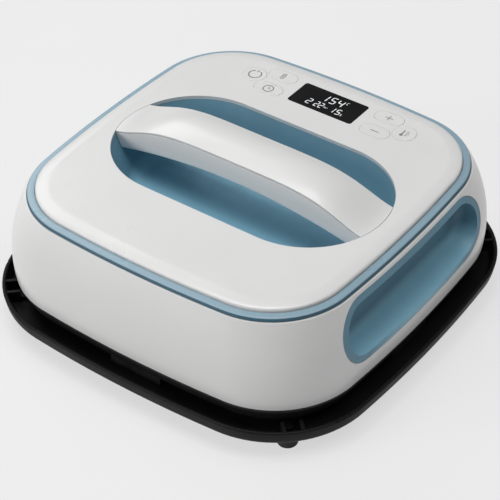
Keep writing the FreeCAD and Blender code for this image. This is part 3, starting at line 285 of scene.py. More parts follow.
ROLLED = rolled_metal()
print("group:", ROLLED.name, "with", len(ROLLED.nodes), "nodes")

# %% [markdown]
# ### Painted light on upward faces
#
# The floors of the well and of the hand holds, and the lips of the holds, are painted a
# paler blue: painted light for the light that falls on them, while steep faces keep the
# deep colour. The mask is how far a face turns upwards, or whether it lies beyond a set
# reach from the middle of the press; the larger of the two wins.

# %% Group: painted light on upward faces
def painted_upward_light():
    """Painted light mask: larger of (normal's Z, 0.35 to 0.9) and (|X| beyond reach), made uneven.
    """
    tree, start, end = new_group(
        "Painted upward light",
        [("Vector", "vector", None), ("Normal", "vector", None),
         ("Colour", "colour", (0.1, 0.2, 0.3, 1)), ("Haze colour", "colour", (0.2, 0.4, 0.5, 1)),
         ("Reach", "value", 145.0 * MM)],
        [("Colour", "colour"), ("Mask", "value")])
    facing = tree.nodes.new("ShaderNodeSeparateXYZ")
    tree.links.new(start.outputs["Normal"], facing.inputs[0])
    upward = ramp(tree, facing.outputs["Z"], 0.35, 0.9)
    spot = tree.nodes.new("ShaderNodeSeparateXYZ")
    tree.links.new(start.outputs["Vector"], spot.inputs[0])
    sideways = maths(tree, "ABSOLUTE", spot.outputs["X"], 0.0)
    beyond = maths(tree, "SUBTRACT", sideways, start.outputs["Reach"])
    mask = maths(tree, "MAXIMUM", upward, ramp(tree, beyond, 0.0, 2.0 * MM))
    uneven = ramp(tree, noise(tree, start.outputs["Vector"], 60.0, 4.0), 0.3, 0.7, 0.88, 1.0)
    mask = maths(tree, "MULTIPLY", mask, uneven)
    colour = blend_colour(tree, mask, start.outputs["Colour"], start.outputs["Haze colour"])
    tree.links.new(colour, end.inputs["Colour"])
    tree.links.new(mask, end.inputs["Mask"])
    return tree


UPWARD_LIGHT = painted_upward_light()
print("group:", UPWARD_LIGHT.name, "with", len(UPWARD_LIGHT.nodes), "nodes")

# %% [markdown]
# ## Finishes
#
# A material could be typed node by node for each part. Most of this object is moulded
# plastic that differs only in colour, gloss and grain, so one maker places the two
# plastic groups and a Bump node and wires them to the shader. A second does the same
# for metals. Fixed numbers, such as a coat, are set on the shader itself.

# %% Makers of plastics and metals
COAT_ROUGHNESS = 0.12


def place(tree, group, vector, **values):
    """Put a node group in a tree on a vector and set its named inputs."""
    node = tree.nodes.new("ShaderNodeGroup")
    node.node_tree = group
    for label, value in values.items():
        node.inputs[label.replace("_", " ")].default_value = value
    tree.links.new(vector, node.inputs["Vector"])
    return node


def bump(tree, height, distance):
    """Bump node from a height socket."""
    node = tree.nodes.new("ShaderNodeBump")
    node.inputs["Distance"].default_value = distance
    tree.links.new(height, node.inputs["Height"])
    return node.outputs["Normal"]


def blank(name):
    """New material with its tree, shader and Object coordinates."""
    material = bpy.data.materials.new(name)
    material.use_nodes = True
    tree = material.node_tree
    coordinates = tree.nodes.new("ShaderNodeTexCoord")
    return material, tree, tree.nodes["Principled BSDF"], coordinates.outputs["Object"]


def plastic(name, colour, shade, rubbed, gloss, grain, depth, rub,
            coat=0.0, cloud=25.0, shine=0.5, painted_light=None):
    """Moulded skin, edge rub, bump and, where its colour is given, painted light on upward faces.
    """
    material, tree, shader, vector = blank(name)
    surface = place(tree, MOULDED, vector, Colour=(*colour, 1), Shade=(*shade, 1),
                    Cloud_scale=cloud, Grain_scale=grain,
                    Roughness_low=gloss[0], Roughness_high=gloss[1])
    edge = place(tree, RUB, vector, Rubbed_colour=(*rubbed, 1), Amount=rub)
    geometry = tree.nodes.new("ShaderNodeNewGeometry")
    tree.links.new(geometry.outputs["Pointiness"], edge.inputs["Pointiness"])
    tree.links.new(surface.outputs["Colour"], edge.inputs["Colour"])
    last = edge
    # Where a paler colour is given, upward faces and the holds' lips get it as painted light.
    if painted_light is not None:
        last = place(tree, UPWARD_LIGHT, vector, Haze_colour=(*painted_light, 1))
        tree.links.new(geometry.outputs["Normal"], last.inputs["Normal"])
        tree.links.new(edge.outputs["Colour"], last.inputs["Colour"])
    tree.links.new(last.outputs["Colour"], shader.inputs["Base Color"])
    tree.links.new(surface.outputs["Roughness"], shader.inputs["Roughness"])
    tree.links.new(bump(tree, surface.outputs["Height"], depth * MM), shader.inputs["Normal"])
    shader.inputs["Specular IOR Level"].default_value = shine
    shader.inputs["Coat Weight"].default_value = coat
    shader.inputs["Coat Roughness"].default_value = COAT_ROUGHNESS
    return material


def metal(name, colour, stain, gloss, streak, depth=0.01, metallic=1.0):
    """Rolled metal and bump on a Principled shader."""
    material, tree, shader, vector = blank(name)
    surface = place(tree, ROLLED, vector, Colour=(*colour, 1), Stain=(*stain, 1),
                    Streak_scale=streak, Roughness_low=gloss[0], Roughness_high=gloss[1])
    tree.links.new(surface.outputs["Colour"], shader.inputs["Base Color"])
    tree.links.new(surface.outputs["Roughness"], shader.inputs["Roughness"])
    tree.links.new(bump(tree, surface.outputs["Height"], depth * MM), shader.inputs["Normal"])
    shader.inputs["Metallic"].default_value = metallic
    return material


print("makers:", plastic.__name__, "and", metal.__name__)

# %% [markdown]
# The housing's white is a glossy plastic with very little orange peel. The ring and
# well are the same plastic dyed blue, the ring polished and the well left satin; the
# ring's side is given a much darker, matt blue, which is painted shade. The tray is
# spark-textured black, which hides scratches from the hot plate's rim. One table holds
# the numbers of all plastics.

# %% The plastics
PLASTICS = {
    "white_plastic": dict(
        colour=(0.67, 0.67, 0.665), shade=(0.655, 0.655, 0.65), rubbed=(0.72, 0.72, 0.71),
        gloss=(0.27, 0.33), grain=700.0, depth=0.004, rub=0.08, coat=0.18),
    "black_plastic": dict(
        colour=(0.005, 0.005, 0.005), shade=(0.008, 0.008, 0.0078), rubbed=(0.03, 0.03, 0.029),
        gloss=(0.46, 0.58), grain=2600.0, depth=0.05, rub=0.12, shine=0.15),
    "collar_plastic": dict(
        colour=(0.007, 0.007, 0.0075), shade=(0.011, 0.011, 0.0115), rubbed=(0.03, 0.03, 0.03),
        gloss=(0.48, 0.60), grain=2200.0, depth=0.04, rub=0.3),
    "blue_ring": dict(
        colour=(0.245, 0.358, 0.432), shade=(0.237, 0.349, 0.421), rubbed=(0.30, 0.42, 0.50),
        gloss=(0.26, 0.34), grain=900.0, depth=0.005, rub=0.25, coat=0.1),
    # The ring's side: a much darker copy of the ring's blue, which is painted shade.
    "ring_side_painted_shade": dict(
        colour=(0.050, 0.118, 0.165), shade=(0.046, 0.110, 0.155), rubbed=(0.09, 0.17, 0.23),
        gloss=(0.46, 0.56), grain=1500.0, depth=0.012, rub=0.12, shine=0.3),
    # The well's paler second colour is painted light for its upward faces and the holds' lips.
    "blue_well": dict(
        colour=(0.108, 0.236, 0.318), shade=(0.101, 0.224, 0.303), rubbed=(0.16, 0.31, 0.40),
        gloss=(0.46, 0.56), grain=1500.0, depth=0.012, rub=0.25, painted_light=(0.225, 0.455, 0.580)),
    # This finish is brighter than the cap's white: painted light that lifts the grip's shaded front
    # face.
    "grey_panel": dict(
        colour=(0.86, 0.84, 0.825), shade=(0.845, 0.825, 0.81), rubbed=(0.88, 0.87, 0.86),
        gloss=(0.28, 0.36), grain=1200.0, depth=0.008, rub=0.3),
    "display_black": dict(
        colour=(0.006, 0.006, 0.0065), shade=(0.009, 0.009, 0.010), rubbed=(0.03, 0.03, 0.03),
        gloss=(0.10, 0.17), grain=500.0, depth=0.001, rub=0.2, shine=0.25),
    "foot_rubber": dict(
        colour=(0.022, 0.022, 0.022), shade=(0.033, 0.032, 0.031), rubbed=(0.07, 0.07, 0.068),
        gloss=(0.68, 0.85), grain=1900.0, depth=0.07, rub=0.6, cloud=90.0),
    "pad_silicone": dict(
        colour=(0.009, 0.009, 0.009), shade=(0.014, 0.014, 0.0135), rubbed=(0.05, 0.05, 0.05),
        gloss=(0.60, 0.72), grain=1700.0, depth=0.05, rub=0.3, cloud=80.0),
    "ceramic_white": dict(
        colour=(0.78, 0.76, 0.71), shade=(0.70, 0.67, 0.61), rubbed=(0.84, 0.83, 0.80),
        gloss=(0.45, 0.62), grain=2400.0, depth=0.04, rub=0.4, cloud=150.0),
    "board_green": dict(
        colour=(0.020, 0.115, 0.050), shade=(0.014, 0.085, 0.040), rubbed=(0.30, 0.27, 0.16),
        gloss=(0.28, 0.40), grain=1300.0, depth=0.03, rub=0.7, coat=0.2, cloud=180.0),
    "component_black": dict(
        colour=(0.024, 0.024, 0.027), shade=(0.036, 0.036, 0.038), rubbed=(0.09, 0.09, 0.09),
        gloss=(0.40, 0.55), grain=2800.0, depth=0.03, rub=0.5),
    "component_blue": dict(
        colour=(0.030, 0.090, 0.300), shade=(0.024, 0.075, 0.250), rubbed=(0.10, 0.20, 0.42),
        gloss=(0.35, 0.48), grain=2400.0, depth=0.02, rub=0.5),
    "component_green": dict(
        colour=(0.055, 0.260, 0.130), shade=(0.045, 0.220, 0.110), rubbed=(0.14, 0.38, 0.23),
        gloss=(0.38, 0.50), grain=2200.0, depth=0.02, rub=0.5),
}
FINISH = {name: plastic(name, **look) for name, look in PLASTICS.items()}
print("plastics:", len(FINISH))

# %% [markdown]
# Metals: zinc-plated screws, a bright aluminium liner, the non-stick plate, the heat-
# tinted element, galvanised sheet and the transformer's laminated core. The non-stick
# plate is a dark film over aluminium, so it is only partly metallic. A streak scale of
# some hundreds suits small turned parts, and one of a few tens suits wide sheets.

# %% The metals
METALS = {
    "screw_steel": dict(
        colour=(0.60, 0.60, 0.61), stain=(0.44, 0.44, 0.46), gloss=(0.28, 0.42), streak=300.0),
    "liner_aluminium": dict(
        colour=(0.80, 0.80, 0.80), stain=(0.68, 0.68, 0.69), gloss=(0.22, 0.38), streak=30.0),
    "plate_aluminium": dict(
        colour=(0.105, 0.100, 0.096), stain=(0.080, 0.077, 0.074), gloss=(0.42, 0.55), streak=25.0,
        depth=0.015, metallic=0.4),
    "element_steel": dict(
        colour=(0.30, 0.27, 0.25), stain=(0.20, 0.15, 0.12), gloss=(0.35, 0.55), streak=120.0),
    "sheet_steel": dict(
        colour=(0.56, 0.57, 0.58), stain=(0.43, 0.44, 0.46), gloss=(0.33, 0.50), streak=35.0),
    "core_steel": dict(
        colour=(0.38, 0.36, 0.33), stain=(0.20, 0.19, 0.17), gloss=(0.40, 0.60), streak=900.0,
        depth=0.05),
}
FINISH.update({name: metal(name, **look) for name, look in METALS.items()})
print("finishes with metals:", len(FINISH))

# %% [markdown]
# The insulation blanket is a needled mat of mineral fibre. Its hairs show as noise
# drawn out along one axis and, crossed with it, along the other.

# %% The blanket
def blanket():
    """Two crossed fibre noises, their larger value as height, and a fuzzy sheen."""
    material, tree, shader, vector = blank("blanket_fibre")
    along = noise(tree, vector, 500.0, 3.0, (0.12, 1.0, 1.0))
    across = noise(tree, vector, 500.0, 3.0, (1.0, 0.12, 1.0))
    hair = maths(tree, "MAXIMUM", along, across)
    colour = blend_colour(tree, ramp(tree, hair, 0.4, 0.75),
                          (0.60, 0.58, 0.52, 1), (0.84, 0.82, 0.76, 1))
    tree.links.new(colour, shader.inputs["Base Color"])
    tree.links.new(ramp(tree, hair, 0.3, 0.8, 0.98, 0.8), shader.inputs["Roughness"])
    tree.links.new(bump(tree, hair, 0.6 * MM), shader.inputs["Normal"])
    shader.inputs["Sheen Weight"].default_value = 0.3
    return material


FINISH["blanket_fibre"] = blanket()
slot_of = {row["node"]: row["material_slot"] for row in frame["record"]["subparts"]}
for name, part in nodes.items():
    part.data.materials.clear()
    part.data.materials.append(FINISH[slot_of[name]])
print("dressed", len(slot_of), "parts in", len(FINISH), "finishes")

# %% [markdown]
# ## A profile carried along an outline
#
# Trim, window glass and keys are all one kind of form: a small profile that keeps its
# shape while it travels round an outline. Each could be extruded and bevelled, but here
# a function of two numbers gives every point at once. One number says how far round the
# outline we are, the other how far along the profile. Every outline of this press is made
# of arcs, so a point of it is a centre, a radius and a direction, and moving it inwards
# only shortens the radius.

# %% Outlines made of arcs
def walk(arcs, steps):
    """Centres and radii along arcs (x, y, radius, start, end), and unit directions from them.

    An arc's direction turns evenly from start to end; all arcs are worked out together.
    """
    arcs = np.asarray(arcs, float)
    share = np.linspace(0.0, 1.0, steps)
    angle = (arcs[:, 3:4] + (arcs[:, 4:5] - arcs[:, 3:4]) * share).ravel()
    centre = np.repeat(arcs[:, :2], steps, axis=0)
    return centre, np.repeat(arcs[:, 2], steps), np.column_stack([np.cos(angle), np.sin(angle)])


def bowed_square(half, corner, side):
    """Four bowed sides and four corners: side centres at half - side, corner centres at (c, c)."""
    k = half - side
    c = (2 * k + math.sqrt(4 * k * k - 8 * (k * k - (side - corner) ** 2))) / 4
    turn = math.atan2(c, c - k)
    quarter = np.arange(4) * math.pi / 2
    arcs = []
    side_arc = (k, 0, side, -turn, turn)
    corner_arc = (c, c, corner, turn, math.pi / 2 - turn)
    for x, y, radius, start, end in (side_arc, corner_arc):
        arcs.append(np.column_stack([x * np.cos(quarter) - y * np.sin(quarter),
                                     x * np.sin(quarter) + y * np.cos(quarter),
                                     np.full(4, radius), quarter + start, quarter + end]))
    return np.stack(arcs, axis=1).reshape(8, 5)


def rounded_rect(x, y, half_x, half_y, radius):
    """Four corner arcs; a pill when half_y is the radius, a circle when both are."""
    quarter = np.arange(4) * math.pi / 2
    sx, sy = np.array([1, -1, -1, 1]), np.array([1, 1, -1, -1])
    centre_x, centre_y = x + sx * (half_x - radius), y + sy * (half_y - radius)
    return np.column_stack([centre_x, centre_y, np.full(4, radius), quarter, quarter + math.pi / 2])


TOP_EDGE = bowed_square(half=136.27, corner=65.2, side=990.0)
print("arcs round the housing's top edge:", len(TOP_EDGE))

# %% [markdown]
# The grid then becomes a mesh. Neighbouring points make a four-sided face, the columns
# close into a loop, and the rows either close too or end in a flat cap. Blender's Screw
# or Skin modifier could do some of this, but faces that we build ourselves stay even.
# Points that coincide are merged, the faces are turned outwards, and edges steeper than
# the crease angle are kept crisp.

# %% From a grid of points to a closed skin
DOUBLE = 0.001 * MM
SKIN_CREASE = math.radians(35)


def carried(outline, steps, profile):
    """Grid: row v holds profile point v, column u a step of the outline.

    Point = centre(u) + direction(u) x (radius(u) - inset(v)), at height(v).
    """
    centre, radius, direction = walk(outline, steps)
    inset, height = np.asarray(profile, float).T
    reach = radius[None, :] - inset[:, None]
    flat = centre[None] + direction[None] * reach[:, :, None]
    return np.dstack([flat, np.broadcast_to(height[:, None], reach.shape)])


def grid_faces(rows, columns, ring):
    """Quads of a grid whose columns wrap; its rows wrap too when ring is true."""
    index = np.arange(rows * columns).reshape(rows, columns)
    index = np.hstack([index, index[:, :1]])
    if ring:
        index = np.vstack([index, index[:1]])
    corners = [index[:-1, :-1], index[:-1, 1:], index[1:, 1:], index[1:, :-1]]
    return np.stack(corners, axis=2).reshape(-1, 4)


def new_object(name, data):
    """Object that shows a mesh, a light or a camera, linked to the scene."""
    piece = bpy.data.objects.new(name, data)
    bpy.context.scene.collection.objects.link(piece)
    return piece


def skin(name, grid, material, body, node, ring=False):
    """Closed mesh from a grid in millimetres: rows wrap, or end rows become flat caps.

    The piece takes the place of a CAD node, or is laid over one when node is None.
    """
    rows, columns = grid.shape[:2]
    faces = grid_faces(rows, columns, ring).tolist()
    if not ring:
        faces += [list(range(columns))[::-1], list(range((rows - 1) * columns, rows * columns))]
    mesh = bpy.data.meshes.new(name)
    mesh.from_pydata((grid.reshape(-1, 3) * MM).tolist(), [], faces)
    work = bmesh.new()
    work.from_mesh(mesh)
    bmesh.ops.remove_doubles(work, verts=work.verts, dist=DOUBLE)
    bmesh.ops.recalc_face_normals(work, faces=work.faces)
    work.to_mesh(mesh)
    work.free()
    mesh.shade_smooth()
    mesh.set_sharp_from_angle(angle=SKIN_CREASE)
    mesh.materials.append(material)
    piece = new_object(name, mesh)
    if node is not None:
        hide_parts(node)
    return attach(piece, body)


print("a grid of 3 by 4 has", len(grid_faces(3, 4, False)), "quads")

# %% [markdown]
# ## Trim ring
#
# The blue ring lies between the white wall and the white cover. Its top slopes gently
# and catches the sky. Its side, a matt face that leans in a little, is painted a much
# darker blue: painted shade for the dark band under the ring's edge, so the ring reads
# as two bands of blue. A small round joins them and holds a thin glint.

# %% Ring skin
ARC_STEPS = 40
SIDE_TOP = 103.5 * MM
RING_PROFILE = [
    (3.1, 99.5), (3.1, 101.3), (1.5, 101.3), (1.25, 101.4), (1.2, 101.65), (1.24, 101.95),
    (2.0, 103.4), (2.14, 103.64), (2.38, 103.82), (2.75, 103.92), (4.5, 104.05), (7.0, 104.19),
    (7.25, 104.14), (7.37, 103.97), (7.4, 103.8), (7.4, 99.5)]
ring = skin("trim_ring_skin", carried(TOP_EDGE, ARC_STEPS, RING_PROFILE), FINISH["blue_ring"],
            "press", "trim_ring", ring=True)
# Faces below SIDE_TOP take the darker blue, which is painted shade on the ring's side.
ring.data.materials.append(FINISH["ring_side_painted_shade"])
centres = np.empty(len(ring.data.polygons) * 3)
ring.data.polygons.foreach_get("center", centres)
side = (centres.reshape(-1, 3)[:, 2] < SIDE_TOP).astype(np.int32)
ring.data.polygons.foreach_set("material_index", side)
print("ring faces:", len(side), "of which on its side:", int(side.sum()))

# %% [markdown]
# ## The cover's edge
#
# Seen edge on, the white cover stands up steeply beside the ring, turns over a small
# round, and then swells gently to its flat top, as a shallow pillow does. The steep part
# hides most of the ring on the far side. It is one more profile carried round the same
# outline, laid over the cover's plain rolled edge and dipping into it at both ends.

# %% Edge skin
SWELL = np.linspace(0.0, 1.0, 9)
EDGE_PROFILE = (
    [(9.5, 103.2), (7.72, 103.2), (7.72, 104.6), (7.8, 105.3), (7.95, 105.8), (8.2, 106.2),
     (8.55, 106.5)]
    + [(8.95 + 9.95 * t, 108.01 - 1.28 * (1 - t) ** 2) for t in SWELL]
    + [(18.93, 107.9), (18.93, 107.2), (12.0, 105.6)])
edge_skin = skin("cover_edge_skin", carried(TOP_EDGE, ARC_STEPS, EDGE_PROFILE),
                 FINISH["white_plastic"], "press", None, ring=True)
print("cover edge:", len(edge_skin.data.polygons), "faces")

# %% [markdown]
# ## The handle
#
# The handle is one long arch in two halves. The white cap has a gently crowned top, and
# the grip below it has rounded lower edges that sit well in the hand. The arch could be
# bent from a box with a curve modifier, but its width, its crown and its thickness all
# change along the way. A function of two numbers says where every point goes: one runs
# from end to end, the other round the section. The ends stop just short of the well, so
# the reach depends on height and width.

# %% Laws of the arch, in millimetres
RUNOUT, CREST, FALL = 113.0, 19.6, 2.4
CROWN_LOW, CROWN_GAIN = 0.4, 3.5
GRIP_DEPTH, GRIP_BOW = 23.2, 480.0
WAIST, FLARE = 37.6, 3.1
WELL_FLOOR, WELL_HEIGHT = 70.0, 35.2
END_CENTRE, END_RADIUS, END_SPREAD, SEAM = 50.2, 46.8, 14.8, 0.32


def arch_top(x):
    """Cover's level plus the crest x cos squared of a power of the share of the run-out."""
    share = np.minimum(np.abs(x) / RUNOUT, 1.0)
    return COVER_Z / MM + CREST * np.cos(math.pi / 2 * share ** FALL) ** 2


def arch_crown(x):
    """Rise across the width: low at the cover, and more with the arch's height."""
    return CROWN_LOW + CROWN_GAIN * (arch_top(x) - COVER_Z / MM) / CREST


def arch_low(x):
    """Arc of the bow's radius under the handle, the grip's depth below the crest."""
    return COVER_Z / MM + CREST - GRIP_DEPTH - GRIP_BOW + np.sqrt(GRIP_BOW ** 2 - x ** 2)


def arch_half(x):
    """Half width: the waist at mid span, wider with the square of the share."""
    return (WAIST + FLARE * np.minimum(np.abs(x) / RUNOUT, 1.0) ** 2) / 2


def end_reach(y, z):
    """Half length at a width and height: the well's end arc there, less the seam."""
    level = np.clip((z - WELL_FLOOR) / WELL_HEIGHT, 0.0, 1.0)
    return END_CENTRE + np.sqrt((END_RADIUS + END_SPREAD * level - SEAM) ** 2 - y ** 2)


print("crest", arch_top(np.zeros(1))[0], "underside", arch_low(np.zeros(1))[0])

# %% [markdown]
# The laws give the line of the handle, and a list of columns gives its section: on which
# side of the middle a point lies, how far out and how high. Both halves of the handle
# are made by one function, and only their lists differ. The rows follow a sine, so they
# crowd towards the ends, where the shape turns fastest.

# %% From a section to the whole handle
SPAN_ROWS, FIRST_REACH = 120, 111.0


def handle_grid(columns, tuck, ridge, foot):
    """Grid of the handle: rows along the span, columns round the section.

    A column is (side, out, up, on_foot): its width is side x (half width - tuck) + out, and
    its height is the ridge or the foot law plus up. The end reach at that width and height
    stretches x, which changes both a little, so the step is taken three times.
    """
    side, out, up, on_foot = np.asarray(columns, float).T
    share = np.sin(np.linspace(-math.pi / 2, math.pi / 2, SPAN_ROWS))[:, None]
    x = share * FIRST_REACH + 0.0 * side
    for _ in range(3):
        y = side * (arch_half(x) - tuck) + out
        z = np.where(on_foot > 0, foot(x), ridge(x, side * (arch_half(x) - tuck))) + up
        x = share * end_reach(y, z)
    return np.dstack([x, y, z])


def half_columns(rows):
    """Columns of the right half, then the same mirrored, back to the start."""
    rows = np.asarray(rows, float)
    return np.vstack([rows, rows[::-1] * (-1, -1, 1, 1)])


ROUND = np.radians(np.linspace(0, 90, 7))
print("corner steps:", len(ROUND))

# %% [markdown]
# The cap is a crowned lid with small rounded edges. The grip is a deep bar with a flat
# top and large rounded lower edges. A hair of a gap stays between them, as between two
# mouldings that are screwed together.

# %% Cap and grip skins
CAP_ROUND, GRIP_ROUND = 0.45, 3.0
CAP_SIDE, CAP_GAP = 1.6, 0.3


def cap_ridge(x, y):
    """Crowned top: the arch less the crown x the square of the share of the half width."""
    return arch_top(x) - arch_crown(x) * (y / arch_half(x)) ** 2


def cap_foot(x):
    """Lower edge of the cap: the height of its side below its shoulder."""
    return arch_top(x) - arch_crown(x) - CAP_SIDE


def grip_ridge(x, y):
    """Flat top of the grip: the gap below the cap."""
    return cap_foot(x) - CAP_GAP + 0.0 * y


top = [(side, 0, 0, 0) for side in np.linspace(0.04, 0.99, 12)]
edge = [(1, CAP_ROUND * math.sin(a), CAP_ROUND * math.cos(a) - CAP_ROUND, 0) for a in ROUND]
cap_columns = half_columns(top + edge + [(1, CAP_ROUND, 0.15, 1), (1, 0.3, 0, 1)])
belly = [(1, GRIP_ROUND * math.cos(a), GRIP_ROUND - GRIP_ROUND * math.sin(a), 1) for a in ROUND]
grip_columns = half_columns([(1, 2.8, 0, 0), (1, GRIP_ROUND, -0.2, 0)] + belly)
cap = skin("handle_cap_skin", handle_grid(cap_columns, CAP_ROUND, cap_ridge, cap_foot),
           FINISH["white_plastic"], "press", "handle_upper_shell")
# The grip takes the brighter finish, which is painted light on its shaded front.
grip = skin("handle_grip_skin", handle_grid(grip_columns, GRIP_ROUND, grip_ridge, arch_low),
            FINISH["grey_panel"], "press", "handle_lower_shell")
print("cap and grip:", len(cap.data.polygons), len(grip.data.polygons), "faces")

# %% [markdown]
# ## Window glass
#
# The display sits under black glass. The glass has a thin lip that rests on the cover
# and hides the seam round its seat. The lip's edge is rounded over a tenth of a
# millimetre, which is enough to draw a fine light line round the window.

# %% Window skin
WINDOW_STEPS = 10
WINDOW_PROFILE = [
    (1.4, 106.0), (1.4, 108.02), (0.0, 108.02), (0.0, 108.09), (0.04, 108.125), (0.15, 108.14),
    (2.0, 108.14)]
pane = rounded_rect(0, PANEL_Y / MM, half_x=28.6, half_y=13.4, radius=2.2)
window = skin("window_skin", carried(pane, WINDOW_STEPS, WINDOW_PROFILE),
              FINISH["display_black"], "press", "display_window")
print("window:", [round(d / MM, 1) for d in window.dimensions])

# %% [markdown]
# ## Keys
#
# Six keys lie almost flush with the cover: two round, four pill-shaped. Each has a
# flange below, which stops it coming out, and a rounded upper edge. A cap flares a
# little at its top, so the gap round it shows only as a faint line.

# %% Key skins
KEY_STEPS = 24
KEY_PROFILE = [
    (-0.7, 103.75), (-0.7, 104.75), (0.0, 104.75), (0.0, 107.5), (-0.14, 107.85),
    (-0.14, 107.99), (-0.08, 108.08), (0.08, 108.14), (0.35, 108.15), (1.2, 108.12),
    (2.6, 108.08)]
KEY_PLACES = {"power": (-67.6, 0.0), "mode": (67.6, 0.0),
              "temperature": (-48.0, 9.95), "timer": (-48.0, -9.95),
              "plus": (48.0, 9.95), "minus": (48.0, -9.95)}
ROUND_KEYS = ("power", "mode")
ROUND_HALF, PILL_HALF = (9.0, 9.0), (12.0, 6.5)
for key, (x, y) in KEY_PLACES.items():
    half_x, half_y = ROUND_HALF if key in ROUND_KEYS else PILL_HALF
    outline = rounded_rect(x, PANEL_Y / MM + y, half_x, half_y, half_y)
    skin(key + "_key_skin", carried(outline, KEY_STEPS, KEY_PROFILE), FINISH["white_plastic"],
         key + "_button", key + "_key")
print("keys:", ", ".join(KEY_PLACES))

# %% [markdown]
# ## The display's digits
#
# A segment display lights up to seven bars for each figure. Each bar is a flat
# hexagon: a strip whose ends come to a point at 45 degrees, so that bars meet neatly.
# A font could be used, but bars with gaps between them are what such a display shows.
# All bars of all figures are worked out together as one array of six-sided faces.

# %% Bars of a seven-segment figure
SLANT, BAR_GAP = 0.10, 0.09


def bars(ends, thickness):
    """Hexagon for each (start, end): shoulders half a thickness in from either tip."""
    start, end = ends[:, 0], ends[:, 1]
    along = end - start
    length = np.linalg.norm(along, axis=1, keepdims=True)
    along = along / length
    aside = np.stack([-along[:, 1], along[:, 0]], axis=1) * thickness / 2
    shoulder = along * thickness / 2
    return np.stack([start, start + shoulder - aside, end - shoulder - aside,
                     end, end - shoulder + aside, start + shoulder + aside], axis=1)


SEGMENTS = {"a": ((0, 2), (1, 2)), "b": ((1, 2), (1, 1)), "c": ((1, 1), (1, 0)),
            "d": ((0, 0), (1, 0)), "e": ((0, 1), (0, 0)), "f": ((0, 2), (0, 1)),
            "g": ((0, 1), (1, 1))}
FIGURES = {"1": "bc", "2": "abged", "4": "fgbc", "5": "afgcd", "C": "afed", "s": "afgcd",
           "h": "fegc", "r": "eg"}


def figure(text, x, y, width, height, thickness, pitch):
    """Bars of a string: unit bars scaled, shifted by pitch, cut short by the gap and sheared."""
    ends = []
    for index, letter in enumerate(text):
        cell = np.array([SEGMENTS[s] for s in FIGURES[letter]], float)
        ends.append(cell * (width, height / 2) + (x + index * pitch, y))
    ends = np.concatenate(ends)
    gap = BAR_GAP * thickness
    along = ends[:, 1] - ends[:, 0]
    along = along / np.linalg.norm(along, axis=1, keepdims=True) * gap
    ends = np.stack([ends[:, 0] + along, ends[:, 1] - along], axis=1)
    shapes = bars(ends, thickness)
    shapes[:, :, 0] += SLANT * (shapes[:, :, 1] - y)
    return shapes


print("bars in 154:", len(figure("154", 0, 0, 1, 2, 0.2, 1.5)))

# %% [markdown]
# A helper turns flat outlines into a thin solid: it lists the points and one face for
# each outline, and a Solidify modifier gives the print its thickness. The digits
# stand in one table: text, place, width, height, thickness of a bar and pitch.

# %% From flat outlines to a thin piece
def flat_piece(name, outlines, z, thickness, material, body):
    """Mesh of flat faces, one to an outline (arrays of x, y in mm), at height z, thickened."""
    points = np.concatenate([np.asarray(o, float) for o in outlines]) * MM
    points = np.column_stack([points, np.full(len(points), z)])
    ends = np.cumsum([len(o) for o in outlines])
    faces = [list(range(e - len(o), e)) for o, e in zip(outlines, ends)]
    mesh = bpy.data.meshes.new(name)
    mesh.from_pydata(points.tolist(), [], faces)
    piece = new_object(name, mesh)
    thick = piece.modifiers.new("thickness", "SOLIDIFY")
    thick.thickness = thickness
    thick.offset = 1.0
    mesh.materials.append(material)
    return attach(piece, body)


def lit(name, colour, strength):
    """Glowing material whose brightness is a little uneven, as a backlight is."""
    material, tree, shader, vector = blank(name)
    glow = ramp(tree, noise(tree, vector, 260.0), 0.3, 0.7)
    shade = blend_colour(tree, glow, (*(0.82 * c for c in colour), 1), (*colour, 1))
    tree.links.new(shade, shader.inputs["Emission Color"])
    tree.links.new(shade, shader.inputs["Base Color"])
    rough = ramp(tree, noise(tree, vector, 900.0), 0.3, 0.7, 0.3, 0.45)
    tree.links.new(rough, shader.inputs["Roughness"])
    shader.inputs["Emission Strength"].default_value = strength
    return material


DIGIT_LIGHT = lit("digit_light", (0.88, 0.92, 0.93), 0.22)
DIGITS_Z, DIGITS_THICK = COVER_Z + 0.15 * MM, 0.03 * MM
DIGITS = [
    ("1", -7.6, 99.3, 4.0, 7.6, 0.75, 6.2), ("54", -0.4, 99.3, 4.0, 7.6, 0.75, 6.3),
    ("C", 12.4, 104.6, 1.5, 2.6, 0.32, 2.0),
    ("2", -15.2, 89.9, 3.3, 6.2, 0.65, 5.0), ("22", -8.0, 89.9, 2.5, 6.2, 0.62, 3.9),
    ("hr", 0.3, 91.6, 1.2, 2.2, 0.3, 1.9),
    ("1", 5.8, 89.9, 3.0, 6.2, 0.68, 4.6), ("5", 11.2, 89.9, 3.0, 6.2, 0.68, 4.6),
    ("s", 15.7, 89.9, 1.1, 2.2, 0.3, 2.0)]
lit_bars = [bar for row in DIGITS for bar in figure(*row)]
flat_piece("display_digits", lit_bars, DIGITS_Z, DIGITS_THICK, DIGIT_LIGHT, "press")
print("lit bars:", len(lit_bars))

# %% [markdown]
# ## The marks on the keys
#
# Each key carries a printed mark: a power ring, a thermometer, a clock, a plus, a minus
# and a mode sign. Printed ink is a ribbon of constant width along a line. The ribbon is
# the line pushed half a width to either side, so one function makes all marks from
# points of their centre lines. Each mark rides on its own key, so it moves when pressed.

